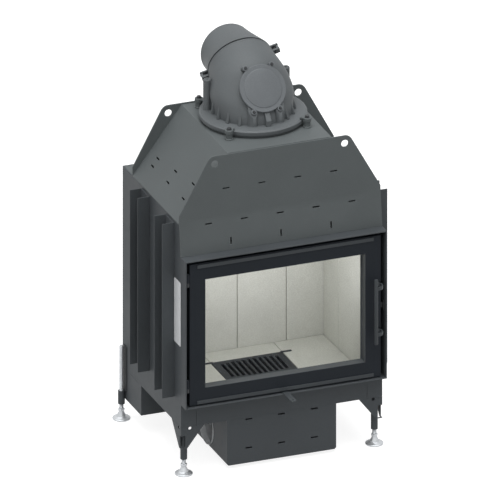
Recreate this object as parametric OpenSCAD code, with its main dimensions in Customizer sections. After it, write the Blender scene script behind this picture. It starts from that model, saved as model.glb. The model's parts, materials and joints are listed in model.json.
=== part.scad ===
// Fireplace insert: a welded steel firebox with a hinged glass door, a hood and a cast flue dome.
// Millimetres. Depths start at the front of the door surround; placed() centres the whole part.

/* [Body] */
// Width of the body over its side walls
body_w = 708; // [640:1:900]
// Depth of the body behind the door surround
body_depth = 531; // [500:1:640]
// Height of the body's lower edge above the floor
body_bottom = 178; // [160:1:260]
// Height of the side walls
body_h = 721; // [690:1:860]
// Sheet steel thickness
sheet = 4; // [3:0.5:5]
// Height of the apron under the door surround
apron_h = 81; // [70:1:110]
// Depth of the air shaft behind the firebox
shaft_depth = 92; // [60:1:120]

/* [Door surround and door] */
// How far the door surround stands in front of the apron
surround_depth = 43; // [36:1:50]
// Height of the door surround
surround_h = 531; // [480:1:560]
// How far the door's face lies behind the surround's front edge
door_recess = 10; // [6:0.5:16]
// Gap between the door and the surround at each side
door_side_gap = 14; // [12:0.5:18]
// Gap above the door
door_top_gap = 12; // [8:0.5:20]
// Gap under the door
door_bottom_gap = 3; // [3:0.5:6]
// Width of the door's side posts
door_post_w = 54.5; // [50:0.5:80]
// Height of the door's rails
door_rail_h = 59; // [50:0.5:80]
// Distance from the door's face to its glass gasket
glass_set = 33; // [28:0.5:40]
// Thickness of the glass
glass_t = 4; // [3:0.5:5]
// Overlap of the glass on the door frame
glass_lap = 14; // [8:0.5:18]
// Thickness of the glass gasket
gasket_t = 1; // [0.5:0.1:2]
// Thickness of the plate behind the glass
back_plate_t = 3; // [2:0.5:4]
// Thickness of the door's rope seal
seal_t = 4.7; // [4:0.1:8]
// Width of the door's rope seal
seal_w = 9; // [6:0.5:12]
// Length of the trim strips across the door
strip_w = 620; // [500:1:640]
// Height of the trim strips
strip_h = 12.5; // [8:0.5:18]
// Distance from the door's edge to a trim strip
strip_inset = 4; // [2:0.5:8]
// How far the trim strips stand proud of the door
strip_t = 3; // [2:0.5:6]

/* [Hinges and latch] */
// Distance from the door's face to the hinge axis
hinge_set = 2; // [1:0.5:4]
// Diameter of a hinge pin
hinge_pin_d = 6; // [5:0.5:8]
// Height of one hinge knuckle
knuckle_h = 30; // [20:1:45]
// Height between the two hinges
hinge_pitch = 380; // [300:1:420]
// Diameter of the handle bar
handle_d = 13; // [10:0.5:16]
// Length of the handle bar
handle_l = 234; // [200:1:280]
// Height of the handle bar's middle above the floor
handle_z = 516.5; // [480:0.5:560]
// Distance from the latch shaft to the handle bar, across the door
handle_reach = 16; // [12:0.5:24]
// Distance from the latch shaft to the handle bar, away from the door
handle_stand = 49; // [44:0.5:58]
// Height between the two handle arms
arm_pitch = 165; // [140:1:190]
// Height of a handle arm
arm_h = 12; // [8:0.5:18]
// Thickness of a handle arm
arm_t = 5; // [4:0.5:6]
// Diameter of the latch shaft
latch_shaft_d = 10; // [8:0.5:12]

/* [Combustion air] */
// Width of the front air box
air_box_w = 384; // [340:1:460]
// Depth of the front air box
air_box_depth = 330; // [320:1:350]
// Height of the front air box under the body
air_box_h = 163; // [140:1:170]
// Diameter of the air spigot
spigot_d = 125; // [90:1:130]
// Length of the air spigot
spigot_l = 40; // [30:1:60]
// Length of the air spigot in front of the box's wall
spigot_out = 3; // [2:0.5:10]
// Gap between the air spigot and the box's floor
spigot_lift = 0.5; // [0.5:0.5:10]
// Distance from the air box's front to the air spigot's axis
spigot_y = 185; // [100:1:220]
// Distance between two slots in the front air box
air_slot_pitch = 115; // [60:1:140]
// Depth of the rear air box under the body
rear_box_depth = 170; // [120:1:180]
// Height of the rear air box under the body
rear_box_h = 107; // [80:1:140]
// Width of the air lever
lever_w = 20; // [14:0.5:24]
// Thickness of the air lever
lever_t = 2; // [1:0.5:2.5]
// Length of the air lever from its shaft to its tip
lever_l = 139; // [120:1:150]
// Swing of the air lever to each side
lever_swing = 25; // [15:1:28]
// Diameter of the air lever's shaft
lever_shaft_d = 10; // [8:0.5:12]

/* [Firebox] */
// Thickness of the firebricks
brick_t = 30; // [25:1:35]
// Height of the brick walls
brick_wall_h = 489; // [460:1:500]
// Splay of the side bricks towards the front, in degrees
brick_splay = 2.4; // [1:0.1:2.4]
// Height of the hearth frame over the bottom plate
hearth_h = 29; // [24:1:36]
// Width of the grate
grate_w = 250; // [220:1:300]
// Depth of the grate
grate_depth = 150; // [120:1:170]
// Distance from the back bricks to the middle of the grate
grate_back = 157; // [150:1:180]
// Depth of the ash pan below the bottom plate
ash_pan_h = 87; // [60:1:110]
// Height of the smoke baffle's steel throat plate over the side walls' foot
throat_z = 622; // [600:1:650]

/* [Hood] */
// Height of the hood above the side walls
hood_h = 231; // [200:1:280]
// Width of the hood's flat top
hood_top_w = 364; // [360:1:390]
// How far the hood's front leans back
hood_lean = 16; // [10:1:24]
// Thickness of the hood's end plates
ear_plate_t = 5; // [4:0.5:8]
// Diameter of the lifting holes
lift_hole_d = 25; // [18:0.5:32]
// Distance between the lifting holes
lift_hole_pitch = 456.8; // [420:1:480]
// Corner radius round a lifting hole
ear_r = 28; // [24:0.5:36]
// How much higher the rear plate's lifting holes lie than the front plate's
rear_ear_rise = 6; // [0:0.5:8]
// Length of the vent slots
slot_l = 24; // [16:1:32]
// Width of the vent slots
slot_w = 5; // [3:0.5:8]
// Distance between two vent slots in a row on the hood's front
slot_pitch = 126; // [80:1:140]
// Distance between the upright slots at the hood's foot
upright_pitch = 176; // [120:1:250]

/* [Convection fins] */
// How far the fins stand out from the side walls
fin_out = 42; // [30:1:60]
// Height of the fins
fin_h = 626; // [500:1:640]
// Height of the fins' lower edge above the body's lower edge
fin_z = 87; // [80:1:95]
// Distance between the two fins of one channel
fin_pitch = 74; // [60:1:90]
// Distance from the front channel to the rear channel
fin_channel_pitch = 222; // [180:1:260]
// Distance from the apron to the first fin
fin_front = 62; // [62:1:90]
// Thickness of the fins
fin_t = 3; // [2:0.5:4]
// Height of the blank type plate's lower edge above the body's lower edge
type_plate_z = 290; // [240:1:320]
// Height of the blank type plate
type_plate_h = 229; // [120:1:260]

/* [Flue dome] */
// Outer diameter of the dome's flange
dome_flange_d = 356; // [340:1:360]
// Height of the dome's flange
dome_flange_h = 18; // [14:1:24]
// Diameter of the dome above its flange
dome_d = 268; // [262:1:272]
// Distance from the hood's rear plate forward to the dome's axis
dome_from_back = 179; // [179:1:190]
// Wall thickness of the dome casting
dome_wall = 6; // [5:0.5:8]
// Diameter of the dome's outlet seat
seat_d = 224; // [216:1:228]
// Tilt of the outlet seat from level, in degrees
seat_tilt = 67.5; // [60:0.5:70]
// Number of ribs round the dome
rib_count = 18; // [12:1:24]
// Depth of a rib
rib_depth = 4; // [2:0.5:6]
// Width of a rib
rib_w = 12; // [6:0.5:14]
// Outer diameter of the flue outlet
outlet_d = 186; // [150:1:188]
// Wall thickness of the flue outlet
outlet_wall = 2.5; // [2:0.5:4]
// Length of the flue outlet along its axis
outlet_l = 112; // [100:1:160]
// Depth of the pipe socket in the flue outlet
outlet_socket = 58; // [40:1:60]
// Mitre angle of the flue outlet, in degrees
outlet_mitre = 22.5; // [5:0.5:22.5]
// Turn of the flue outlet as it rests, in degrees
outlet_turn = 96; // [0:1:359]
// Diameter of the inspection cover
cover_d = 160; // [140:1:162]
// Thickness of the inspection cover
cover_t = 7; // [5:0.5:10]

/* [Feet] */
// Diameter of a foot plate
foot_d = 60; // [40:1:80]
// Diameter of a foot's threaded stem
stem_d = 14; // [10:0.5:15]
// Outer diameter of a leg sleeve
sleeve_d = 23; // [20:0.5:28]
// Height of the leg sleeves' lower edge above the floor
sleeve_bottom = 55; // [45:1:60]
// Distance of a front foot from the apron
front_foot_y = 24; // [20:1:40]
// Distance of a front foot from the side wall's face
front_foot_in = 19; // [19:1:40]
// Distance of a rear foot from the body's back
rear_foot_y = 20; // [18:1:60]
// Height of the rear legs' rods above the floor
rear_rod_h = 264; // [230:1:300]

/* [Clearances] */
// Running clearance round a pin or shaft
run_gap = 0.05; // [0.03:0.01:0.1]
// Gap between parts that turn face to face
turn_gap = 0.3; // [0.2:0.05:0.6]
// Gap between a brick and its neighbour
brick_gap = 2; // [0.5:0.1:3]

/* [Hidden] */

$fn = 64;
eps = 0.01;

// Colours
body_paint = [0.29, 0.31, 0.31];
hood_paint = [0.40, 0.42, 0.42];
door_paint = [0.16, 0.18, 0.19];
trim_paint = [0.29, 0.31, 0.32];
cast_paint = [0.44, 0.46, 0.46];
brick_colour = [0.72, 0.71, 0.66];
iron_colour = [0.20, 0.21, 0.21];
zinc_colour = [0.78, 0.79, 0.80];
seal_colour = [0.12, 0.12, 0.12];

// Body planes
half_w = body_w / 2;
in_w = half_w - sheet;
body_front = surround_depth;
body_back = body_front + body_depth;
body_top = body_bottom + body_h;
floor_top = body_bottom + sheet;
shaft_front = body_back - shaft_depth;
rim_bottom = body_bottom + apron_h;
rim_top = rim_bottom + surround_h;

// Door planes
door_half = in_w - door_side_gap;
door_bottom = rim_bottom + sheet + door_bottom_gap;
door_top = rim_top - sheet - door_top_gap;
door_mid = (door_bottom + door_top) / 2;
window_half = door_half - door_post_w;
window_bottom = door_bottom + door_rail_h;
window_top = door_top - door_rail_h;
door_front = door_recess;
reveal_back = door_front + glass_set;
glass_front = reveal_back + gasket_t;
glass_back = glass_front + glass_t;
door_back = glass_back + back_plate_t;
seal_back = door_back + seal_t;
seat_front = seal_back + turn_gap;
seat_back = seat_front + sheet;
seal_half = door_half - sheet - 1;
mouth_half = seal_half - seal_w - 4;
mouth_bottom = door_bottom + sheet + seal_w + 3;
mouth_top = door_top - sheet - seal_w - 3;

// Hinge and latch axes
hinge_x = -(in_w - door_side_gap / 2);
hinge_y = door_front + hinge_set;
knuckle_r = door_side_gap / 2 - 1;
lug_h = 14;
latch_x = door_half - 14;
latch_y = door_front + sheet + latch_shaft_d / 2 + 5;
handle_x = latch_x - handle_reach;
handle_y = latch_y - handle_stand;
cam_h = 18;
cam_room = [8, 22];
bearing_h = 14;
bearing_out = 22;
keeper_t = 3.2;

// Combustion air
lever_y = seat_back + lever_shaft_d / 2 + 2;
lever_z = rim_bottom + sheet + door_bottom_gap / 2;
lever_pin_d = lever_shaft_d - 3;
lever_hole_d = 6;
box_bottom = body_bottom - air_box_h;
spigot_wall = 2;
spigot_axis = [body_front + spigot_y, box_bottom + sheet + spigot_lift + spigot_d / 2];
box_back = body_front + air_box_depth;
rear_box_front = body_back - rear_box_depth;
rear_box_bottom = body_bottom - rear_box_h;
damper_l = 64;
damper_w = 60;
port_d = 42;
port_y = lever_y + damper_l / 2 + 8;

// Firebox
hearth_z = floor_top + hearth_h;
fire_floor = hearth_z + brick_t;
fire_front = lever_y + lever_shaft_d / 2 + 5;
fire_back = shaft_front - sheet - 2 - brick_t;
brick_top = hearth_z + brick_wall_h;
side_joint = fire_back - 122;
grate_y = fire_back - grate_back;
ledge = 10;
pan_lip = 5;
pan_gap = 1.5;
pan_half = grate_w / 2 - ledge - pan_lip - pan_gap;
pan_depth_half = grate_depth / 2 - ledge - pan_lip - pan_gap;
pan_wall = 2;
grate_bars = 11;
grate_tab = [32, 9, 3];

// Half width between the side bricks at depth y
function fire_half(y) = in_w - 2 - brick_t - (y - fire_front) * tan(brick_splay);

// Hood
hood_top = body_top + hood_h;
hood_bend = body_top + 19;
hood_front_y = body_front + hood_lean;
hood_back_y = shaft_front;
ear_hole_z = hood_top - ear_r - 2;
ear_corner_z = hood_bend + 12;
hood_foot_h = 3;
hood_rise = hood_h - hood_foot_h;
hood_slope = atan2(hood_rise, half_w - hood_top_w / 2);
high_row_z = hood_bend + 89;
low_row_z = hood_bend - 28;
upright_row_z = rim_top + 31;
side_row = [70, 115];
side_climb = [0, 14];

// Flue dome, in its own frame with the flange's underside at 0
collar_h = 8;
collar_r = dome_flange_d / 2 - 8;
dome_y = hood_back_y - dome_from_back;
dome_z = hood_top + collar_h + turn_gap;
bore_r = dome_d / 2 - 2 * dome_wall;
skirt_z = dome_flange_h + 17;
seat_foot = dome_d / 2 + 26;
seat_r = seat_d / 2;
seat_centre = [0, seat_foot - seat_r * cos(seat_tilt), skirt_z + seat_r * sin(seat_tilt)];
bulge_tilt = seat_tilt / 2;
bulge_r = 1.03 * (dome_d + seat_d) / 4;
bulge_centre = [0, seat_foot - bulge_r * cos(bulge_tilt), skirt_z + bulge_r * sin(bulge_tilt)];
outlet_flange_t = 8;
socket_step = 2;
column_d = 28;
column_h = 109;
column_r = dome_d / 2 + 16;
column_turn = 23;
clamp_post_d = 28;
clamp_turn = -18;
clamp_out = 26;
screw_d = 6.5;
cover_tilt = 58;
cover_centre = [0, -dome_d / 2 + 47.5, skirt_z + 95.5];
lug_r = cover_d / 2 + 8;
lug_d = 22;
lug_turn = 58;
lug_post_d = 34;
rib_h = 60;

// Feet
stem_bottom = 30;
front_foot = [half_w - front_foot_in, body_front + front_foot_y];
rear_foot = [half_w + sleeve_d / 2, body_back - rear_foot_y];
rear_sleeve_top = sleeve_bottom + 47;
bar_t = 3;
bar_w = 30;
bar_back = 8;

// Front leg brackets, measured from the body's corner and down from its lower edge
leg_h = 78;
leg_front_w = 82;
leg_side_w = 86;
leg_front_foot = 22;
leg_side_foot = 18;
leg_notch = [16, 31];
leg_hole_d = 11;
leg_hole_drop = 6;
leg_hole_in = [32, 21];

// The whole part is centred between the front of its handle or lever and the back of its feet
lever_tip = lever_y - lever_l;
front_reach = min(handle_y - handle_d / 2, lever_tip);
rear_reach = rear_foot[1] + foot_d / 2;
y_mid = (front_reach + rear_reach) / 2;

module placed() translate([0, -y_mid, 0]) children();

module box(low, high) translate(low) cube(high - low);

module both_sides() {
    children();
    mirror([1, 0, 0]) children();
}

// A rectangular ring that lies between two depths
module frame_ring(half, bottom, top, hole_half, hole_bottom, hole_top, front, back) {
    difference() {
        box([-half, front, bottom], [half, back, top]);
        box([-hole_half, front - 1, hole_bottom], [hole_half, back + 1, hole_top]);
    }
}

// A plate drawn in the side view, as wide as w and centred on the middle plane
module side_profile(points, x0, x1)
    translate([x0, 0, 0]) rotate([90, 0, 90]) linear_extrude(x1 - x0) polygon(points);

// A plate drawn in the front view, from depth y0 to y1
module front_profile(points, y0, y1)
    translate([0, y1, 0]) rotate([90, 0, 0]) linear_extrude(y1 - y0) polygon(points);

// A prism drawn in plan, from height z0 to z1
module plan_prism(points, z0, z1) translate([0, 0, z0]) linear_extrude(z1 - z0) polygon(points);

// A vent slot, cut from depth y0 to y1
module slot(x, z, y0, y1, upright = false) {
    long = upright ? slot_w : slot_l;
    tall = upright ? slot_l : slot_w;
    box([x - long / 2, y0, z - tall / 2], [x + long / 2, y1, z + tall / 2]);
}

// Body sheets

// Depth of the hood front plate's rear face at height z, below its bend
function lean_y(z) = body_front + ear_plate_t + hood_lean * (z - rim_top) / (hood_bend - rim_top);

module side_wall() {
    side_profile([
        [body_front, body_bottom], [body_front, rim_top], [lean_y(rim_top), rim_top],
        [lean_y(body_top), body_top], [body_back, body_top], [body_back, body_bottom]
    ], in_w, half_w);
}

module left_side_wall() color(body_paint) placed() mirror([1, 0, 0]) side_wall();

module right_side_wall() color(body_paint) placed() side_wall();

module back_wall() color(body_paint) placed()
    box([-in_w, body_back - sheet, rear_box_bottom], [in_w, body_back, body_top]);

module rear_top_cover() color(hood_paint) placed()
    box([-in_w, shaft_front, body_top - sheet], [in_w, body_back - sheet, body_top]);

module firebox_back() color(body_paint) placed()
    box([-in_w, shaft_front - sheet, floor_top], [in_w, shaft_front, body_top]);

module bottom_plate() color(body_paint) placed() difference() {
    union() {
        box([-in_w, body_front + sheet, body_bottom], [in_w, shaft_front, floor_top]);
        translate([0, lever_y, floor_top - eps]) cylinder(d = lever_shaft_d + 8, h = 8);
    }
    translate([0, lever_y, body_bottom - 1])
        cylinder(d = lever_shaft_d + 2 * run_gap, h = sheet + 20);
    translate([0, port_y, body_bottom - 1]) cylinder(d = port_d, h = sheet + 2);
    hole = [pan_half + 0.5, pan_depth_half + 0.5];
    box([-hole[0], grate_y - hole[1], body_bottom - 1], [hole[0], grate_y + hole[1], floor_top + 1]);
    box([-in_w + 60, shaft_front - 60, body_bottom - 1], [in_w - 60, shaft_front - 20, floor_top + 1]);
}

module front_apron() color(body_paint) placed()
    box([-in_w, body_front, body_bottom], [in_w, body_front + sheet, rim_bottom]);

module door_surround() color(body_paint) placed() {
    frame_ring(half_w, rim_bottom, rim_top, in_w, rim_bottom + sheet, rim_top - sheet, 0, body_front);
    for (z = [rim_bottom, rim_top - sheet])
        box([-in_w, body_front - eps, z], [in_w, seat_front, z + sheet]);
}

// The door seat has a low slot, in which the air lever swings
module door_seat() color(body_paint) placed() difference() {
    frame_ring(in_w, rim_bottom, rim_top, mouth_half, mouth_bottom, mouth_top, seat_front, seat_back);
    half = (lever_y - seat_front) * tan(lever_swing) + lever_w / 2 / cos(lever_swing) + 3;
    box([-half, seat_front - 1, lever_z - lever_t / 2 - 0.5], [half, seat_back + 1, lever_z + lever_t / 2 + 0.5]);
}

// Air boxes

module air_slots(y) {
    for (k = [-1, 0, 1], z = [body_bottom - 6, box_bottom + 54])
        slot(k * air_slot_pitch, z, y - 1, y + sheet + 1);
}

module front_air_box() color(body_paint) placed() difference() {
    box([-air_box_w / 2, body_front, box_bottom], [air_box_w / 2, box_back, body_bottom]);
    box([-air_box_w / 2 + sheet, body_front + sheet, box_bottom + sheet],
        [air_box_w / 2 - sheet, box_back - sheet, body_bottom + 1]);
    air_slots(body_front);
    translate([-air_box_w / 2 - 1, spigot_axis.x, spigot_axis.y])
        rotate([0, 90, 0]) cylinder(d = spigot_d, h = sheet + 2);
    both_sides() translate([air_box_w / 2, body_front - 1, box_bottom]) rotate([0, 45, 0])
        box([-sheet, 0, -sheet], [sheet, air_box_depth + 2, sheet]);
}

module rear_air_box() color(body_paint) placed() difference() {
    box([-half_w, rear_box_front, rear_box_bottom], [half_w, body_back, body_bottom]);
    box([-in_w, rear_box_front + sheet, rear_box_bottom + sheet],
        [in_w, body_back + 1, body_bottom + 1]);
    box([-in_w, body_back - sheet, rear_box_bottom - 1], [in_w, body_back + 1, body_bottom]);
}

module air_spigot() color(zinc_colour) placed()
    translate([-air_box_w / 2 - spigot_out, spigot_axis.x, spigot_axis.y]) rotate([0, 90, 0])
        difference() {
            cylinder(d = spigot_d, h = spigot_l);
            translate([0, 0, -1]) cylinder(d = spigot_d - 2 * spigot_wall, h = spigot_l + 2);
        }

// Convection fins: two open channels on each side wall

module fins() {
    for (k = [0, 1]) {
        y = body_front + fin_front + k * fin_channel_pitch;
        z = body_bottom + fin_z;
        difference() {
            box([half_w, y, z], [half_w + fin_out, y + fin_pitch, z + fin_h]);
            box([half_w + fin_t, y + fin_t, z - 1], [half_w + fin_out + 1, y + fin_pitch - fin_t, z + fin_h + 1]);
        }
    }
}

module left_convection_fins() color(body_paint) placed() mirror([1, 0, 0]) fins();

module right_convection_fins() color(body_paint) placed() fins();

module type_plate() color(zinc_colour) placed()
    box([-half_w - 1, body_front + 2, body_bottom + type_plate_z],
        [-half_w, body_front + fin_front - 2, body_bottom + type_plate_z + type_plate_h]);

// Hood

// Arc points round c from angle a0 to a1
function arc(c, r, a0, a1, n = 10) =
    [for (i = [0:n]) let (a = a0 + (a1 - a0) * i / n) [c[0] + r * cos(a), c[1] + r * sin(a)]];

// Half of an end plate's outline, from its foot to the round ear at its top corner
function ear_outline(foot_z, rise = 0) = let (
    hole = [lift_hole_pitch / 2, ear_hole_z + rise],
    corner = [half_w, ear_corner_z],
    d = corner - hole,
    along = atan2(d[1], d[0]),
    tangent = along + acos(ear_r / norm(d))
) concat([[half_w, foot_z], corner], arc(hole, ear_r, tangent, 90));

function mirrored(points) = [for (i = [len(points) - 1:-1:0]) [-points[i][0], points[i][1]]];

module lift_holes(y, rise = 0) both_sides()
    translate([lift_hole_pitch / 2, y - 1, ear_hole_z + rise]) rotate([-90, 0, 0])
        cylinder(d = lift_hole_d, h = ear_plate_t + 2);

module hood_front_plate() color(hood_paint) placed() difference() {
    union() {
        side_profile([
            [body_front, rim_top], [hood_front_y, hood_bend],
            [hood_front_y + ear_plate_t, hood_bend], [body_front + ear_plate_t, rim_top]
        ], -half_w, half_w);
        front_profile(concat(ear_outline(hood_bend - eps), mirrored(ear_outline(hood_bend - eps))),
            hood_front_y, hood_front_y + ear_plate_t);
    }
    lift_holes(hood_front_y);
    for (k = [-1.5:1.5]) slot(k * slot_pitch, high_row_z, body_front, hood_front_y + 10);
    for (k = [-2:2]) slot(k * slot_pitch, low_row_z, body_front, hood_front_y + 10);
    for (k = [-1:1]) slot(k * upright_pitch, upright_row_z, body_front - 1, hood_front_y + 10, true);
}

module hood_rear_plate() color(hood_paint) placed() difference() {
    outline = ear_outline(body_top, rear_ear_rise);
    front_profile(concat(outline, mirrored(outline)), hood_back_y, hood_back_y + ear_plate_t);
    lift_holes(hood_back_y, rear_ear_rise);
}

// Half of the hood's outline between its end plates, t inside the outer face and started lower by under
function hood_half(t, under) = [
    [half_w - t, body_top - under],
    [half_w - t, body_top + hood_foot_h - t * (1 - sin(hood_slope)) / cos(hood_slope)],
    [half_w - (t + (hood_rise - t) * cos(hood_slope)) / sin(hood_slope), hood_top - t]
];

module hood_prism(t, under, y0, y1)
    front_profile(concat(hood_half(t, under), mirrored(hood_half(t, under))), y0, y1);

module hood_shell() color(hood_paint) placed() {
    front = hood_front_y + ear_plate_t;
    length = hood_back_y - front;
    difference() {
        hood_prism(0, 0, front, hood_back_y);
        hood_prism(sheet, 1, front - 1, hood_back_y + 1);
        translate([0, dome_y, hood_top - sheet - 1]) cylinder(r = bore_r, h = sheet + 2);
        both_sides() for (i = [0, 1], k = [-1, 0, 1]) let (up = side_row[i] - k * side_climb[i])
            translate([half_w, front + length * (0.5 + k / 3), body_top + hood_foot_h])
                rotate([0, hood_slope, 0])
                    box([-up - slot_w / 2, -slot_l / 2, -sheet - 2], [-up + slot_w / 2, slot_l / 2, sheet]);
    }
}

module throat_plate() color(iron_colour) placed()
    box([-in_w, seat_back + 20, body_bottom + throat_z], [in_w, fire_back - 60, body_bottom + throat_z + sheet]);

// Firebrick lining

module back_firebricks() color(brick_colour) placed() {
    edge = in_w - brick_t + 10;
    step = (fire_half(fire_back)) * 0.57;
    marks = [-edge, -step, 0, step, edge];
    for (i = [0:3])
        box([marks[i] + brick_gap / 2, fire_back, hearth_z], [marks[i + 1] - brick_gap / 2, fire_back + brick_t, brick_top]);
}

module side_brick(y0, y1) plan_prism([
    [fire_half(y0), y0], [fire_half(y0) + brick_t, y0],
    [fire_half(y1) + brick_t, y1], [fire_half(y1), y1]
], hearth_z, brick_top);

module side_firebricks() color(brick_colour) placed() both_sides() {
    side_brick(fire_front, side_joint - brick_gap);
    side_brick(side_joint, fire_back - brick_gap);
}

module floor_firebricks() color(brick_colour) placed() {
    back = fire_back - brick_gap;
    inner = grate_w / 2 + brick_gap;
    both_sides() plan_prism([
        [inner, fire_front], [fire_half(fire_front) - brick_gap, fire_front],
        [fire_half(back) - brick_gap, back], [inner, back]
    ], hearth_z, fire_floor);
    box([-inner + brick_gap, fire_front, hearth_z],
        [inner - brick_gap, grate_y - grate_depth / 2 - brick_gap, fire_floor]);
    box([-inner + brick_gap, grate_y + grate_depth / 2 + brick_gap, hearth_z],
        [inner - brick_gap, back, fire_floor]);
}

module smoke_baffle() color(brick_colour) placed() {
    half = fire_half(fire_back) + 15;
    for (s = [-1, 1])
        box([s > 0 ? brick_gap / 2 : -half, fire_front + 90, brick_top],
            [s > 0 ? half : -brick_gap / 2, fire_back + brick_t - 5, brick_top + brick_t]);
}

module hearth_frame() color(iron_colour) placed() {
    rear = shaft_front - sheet;
    hole_x = grate_w / 2 - ledge;
    hole_y = grate_depth / 2 - ledge;
    difference() {
        box([-in_w, fire_front, floor_top], [in_w, rear, hearth_z]);
        difference() {
            box([-in_w + sheet, fire_front + sheet, floor_top - 1], [in_w - sheet, rear - sheet, hearth_z - sheet]);
            box([-hole_x - sheet, grate_y - hole_y - sheet, floor_top - 1],
                [hole_x + sheet, grate_y + hole_y + sheet, hearth_z]);
        }
        box([-hole_x, grate_y - hole_y, floor_top - 1], [hole_x, grate_y + hole_y, hearth_z + 1]);
    }
}

// Cast iron grate with slots whose ends follow a round envelope, and two rear lugs
module grate() color(iron_colour) placed() {
    edge = 20;
    pitch = (grate_w - 2 * edge) / grate_bars;
    rear = grate_y + grate_depth / 2;
    difference() {
        box([-grate_w / 2, grate_y - grate_depth / 2, hearth_z], [grate_w / 2, rear, fire_floor]);
        for (i = [0:grate_bars - 1]) {
            x = (i - (grate_bars - 1) / 2) * pitch;
            reach = grate_depth / 2 - 14 - 16 * pow(2 * x / grate_w, 2);
            box([x - pitch * 0.27, grate_y - reach, hearth_z - 1], [x + pitch * 0.27, grate_y + reach, fire_floor + 1]);
        }
    }
    tab_top = fire_floor + grate_tab[2];
    both_sides() {
        box([grate_w / 2 - 6, rear - grate_tab[1], fire_floor - 1], [grate_w / 2, rear, tab_top]);
        box([grate_w / 2 - 1, rear - grate_tab[1], fire_floor], [grate_w / 2 + grate_tab[0], rear, tab_top]);
    }
}

module ash_pan() color(zinc_colour) placed() {
    low = body_bottom - ash_pan_h;
    lip_x = pan_half + pan_lip;
    lip_y = pan_depth_half + pan_lip;
    difference() {
        union() {
            box([-pan_half, grate_y - pan_depth_half, low], [pan_half, grate_y + pan_depth_half, floor_top + pan_wall]);
            box([-lip_x, grate_y - lip_y, floor_top], [lip_x, grate_y + lip_y, floor_top + pan_wall]);
        }
        box([-pan_half + pan_wall, grate_y - pan_depth_half + pan_wall, low + pan_wall],
            [pan_half - pan_wall, grate_y + pan_depth_half - pan_wall, floor_top + pan_wall + 1]);
    }
    translate([-pan_half + eps, grate_y, floor_top - 6]) rotate([0, 90, 0]) cylinder(d = 6, h = 2 * pan_half - 2 * eps);
}

// Door

module door_frame() color(door_paint) placed() {
    hollow_back = reveal_back + 1;
    side = door_back;
    difference() {
        frame_ring(door_half, door_bottom, door_top, window_half, window_bottom, window_top, door_front, side);
        frame_ring(door_half - sheet, door_bottom + sheet, door_top - sheet,
            window_half + sheet, window_bottom - sheet, window_top + sheet, door_front + sheet, hollow_back + 20);
        box([-window_half - sheet - 1, reveal_back, window_bottom - sheet - 1],
            [window_half + sheet + 1, side + 1, window_top + sheet + 1]);
        for (s = [-1, 1]) box([latch_x - 7, door_front - 1, handle_z + s * arm_pitch / 2 - arm_h / 2 - 1],
            [door_half + 1, door_front + sheet + 8, handle_z + s * arm_pitch / 2 + arm_h / 2 + 1]);
        box([door_half - sheet - 1, latch_y - cam_room[0], handle_z - cam_h / 2 - 1],
            [door_half + 1, latch_y + cam_room[1], handle_z + cam_h / 2 + 1]);
    }
}

module door_strips() color(trim_paint) placed()
    for (z = [door_bottom + strip_inset, door_top - strip_inset - strip_h])
        box([-strip_w / 2, door_front - strip_t, z], [strip_w / 2, door_front, z + strip_h]);

module glass_gasket() color(seal_colour) placed()
    frame_ring(window_half + sheet, window_bottom - sheet, window_top + sheet,
        window_half, window_bottom, window_top, reveal_back, glass_front);

module window_glass() color([0.75, 0.80, 0.80, 0.3]) placed()
    box([-window_half - glass_lap, glass_front, window_bottom - glass_lap],
        [window_half + glass_lap, glass_back, window_top + glass_lap]);

module door_back_plate() color(iron_colour) placed()
    frame_ring(door_half - sheet, door_bottom + sheet, door_top - sheet,
        window_half + 3, window_bottom - 3, window_top + 3, glass_back, door_back);

module door_rope_seal() color(seal_colour) placed()
    frame_ring(seal_half, door_bottom + sheet + 1, door_top - sheet - 1,
        seal_half - seal_w, door_bottom + sheet + 1 + seal_w, door_top - sheet - 1 - seal_w, door_back, seal_back);

// Hinges: a fixed lug with an upright pin, and a knuckle on the door that drops over it

function hinge_heights() = [door_mid - hinge_pitch / 2, door_mid + hinge_pitch / 2];

module hinge_pins() color(iron_colour) placed() for (z = hinge_heights()) {
    translate([hinge_x, hinge_y, z - lug_h]) cylinder(r = knuckle_r, h = lug_h);
    translate([hinge_x, hinge_y, z - eps]) cylinder(d = hinge_pin_d, h = knuckle_h + turn_gap);
    box([-in_w, hinge_y - 4, z - lug_h], [hinge_x, hinge_y + 4, z]);
}

module door_knuckles() color(door_paint) placed() for (z = hinge_heights()) difference() {
    union() {
        translate([hinge_x, hinge_y, z + turn_gap]) cylinder(r = knuckle_r, h = knuckle_h);
        box([hinge_x, hinge_y - 1, z + turn_gap], [-door_half, hinge_y + 6, z + turn_gap + knuckle_h]);
    }
    translate([hinge_x, hinge_y, z - 1]) cylinder(d = hinge_pin_d + 2 * run_gap, h = knuckle_h + 3);
}

// Handle: two bent arms carry the bar and turn the latch shaft inside the door's post

module latch_bearings() color(iron_colour) placed()
    for (s = [-1, 1]) difference() {
        z = handle_z + s * (arm_pitch / 2 + bearing_out) - bearing_h / 2;
        half = latch_shaft_d / 2 + 4;
        box([latch_x - half, door_front + sheet, z], [latch_x + half, latch_y + half, z + bearing_h]);
        translate([latch_x, latch_y, z - 1]) cylinder(d = latch_shaft_d + 2 * run_gap, h = bearing_h + 2);
    }

module latch_shaft() color(zinc_colour) placed() {
    reach = arm_pitch / 2 + bearing_out + bearing_h / 2 + 11;
    translate([latch_x, latch_y, handle_z - reach]) cylinder(d = latch_shaft_d, h = 2 * reach);
}

module handle_bar() color(trim_paint) placed()
    translate([handle_x, handle_y, handle_z - handle_l / 2]) cylinder(d = handle_d, h = handle_l);

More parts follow.
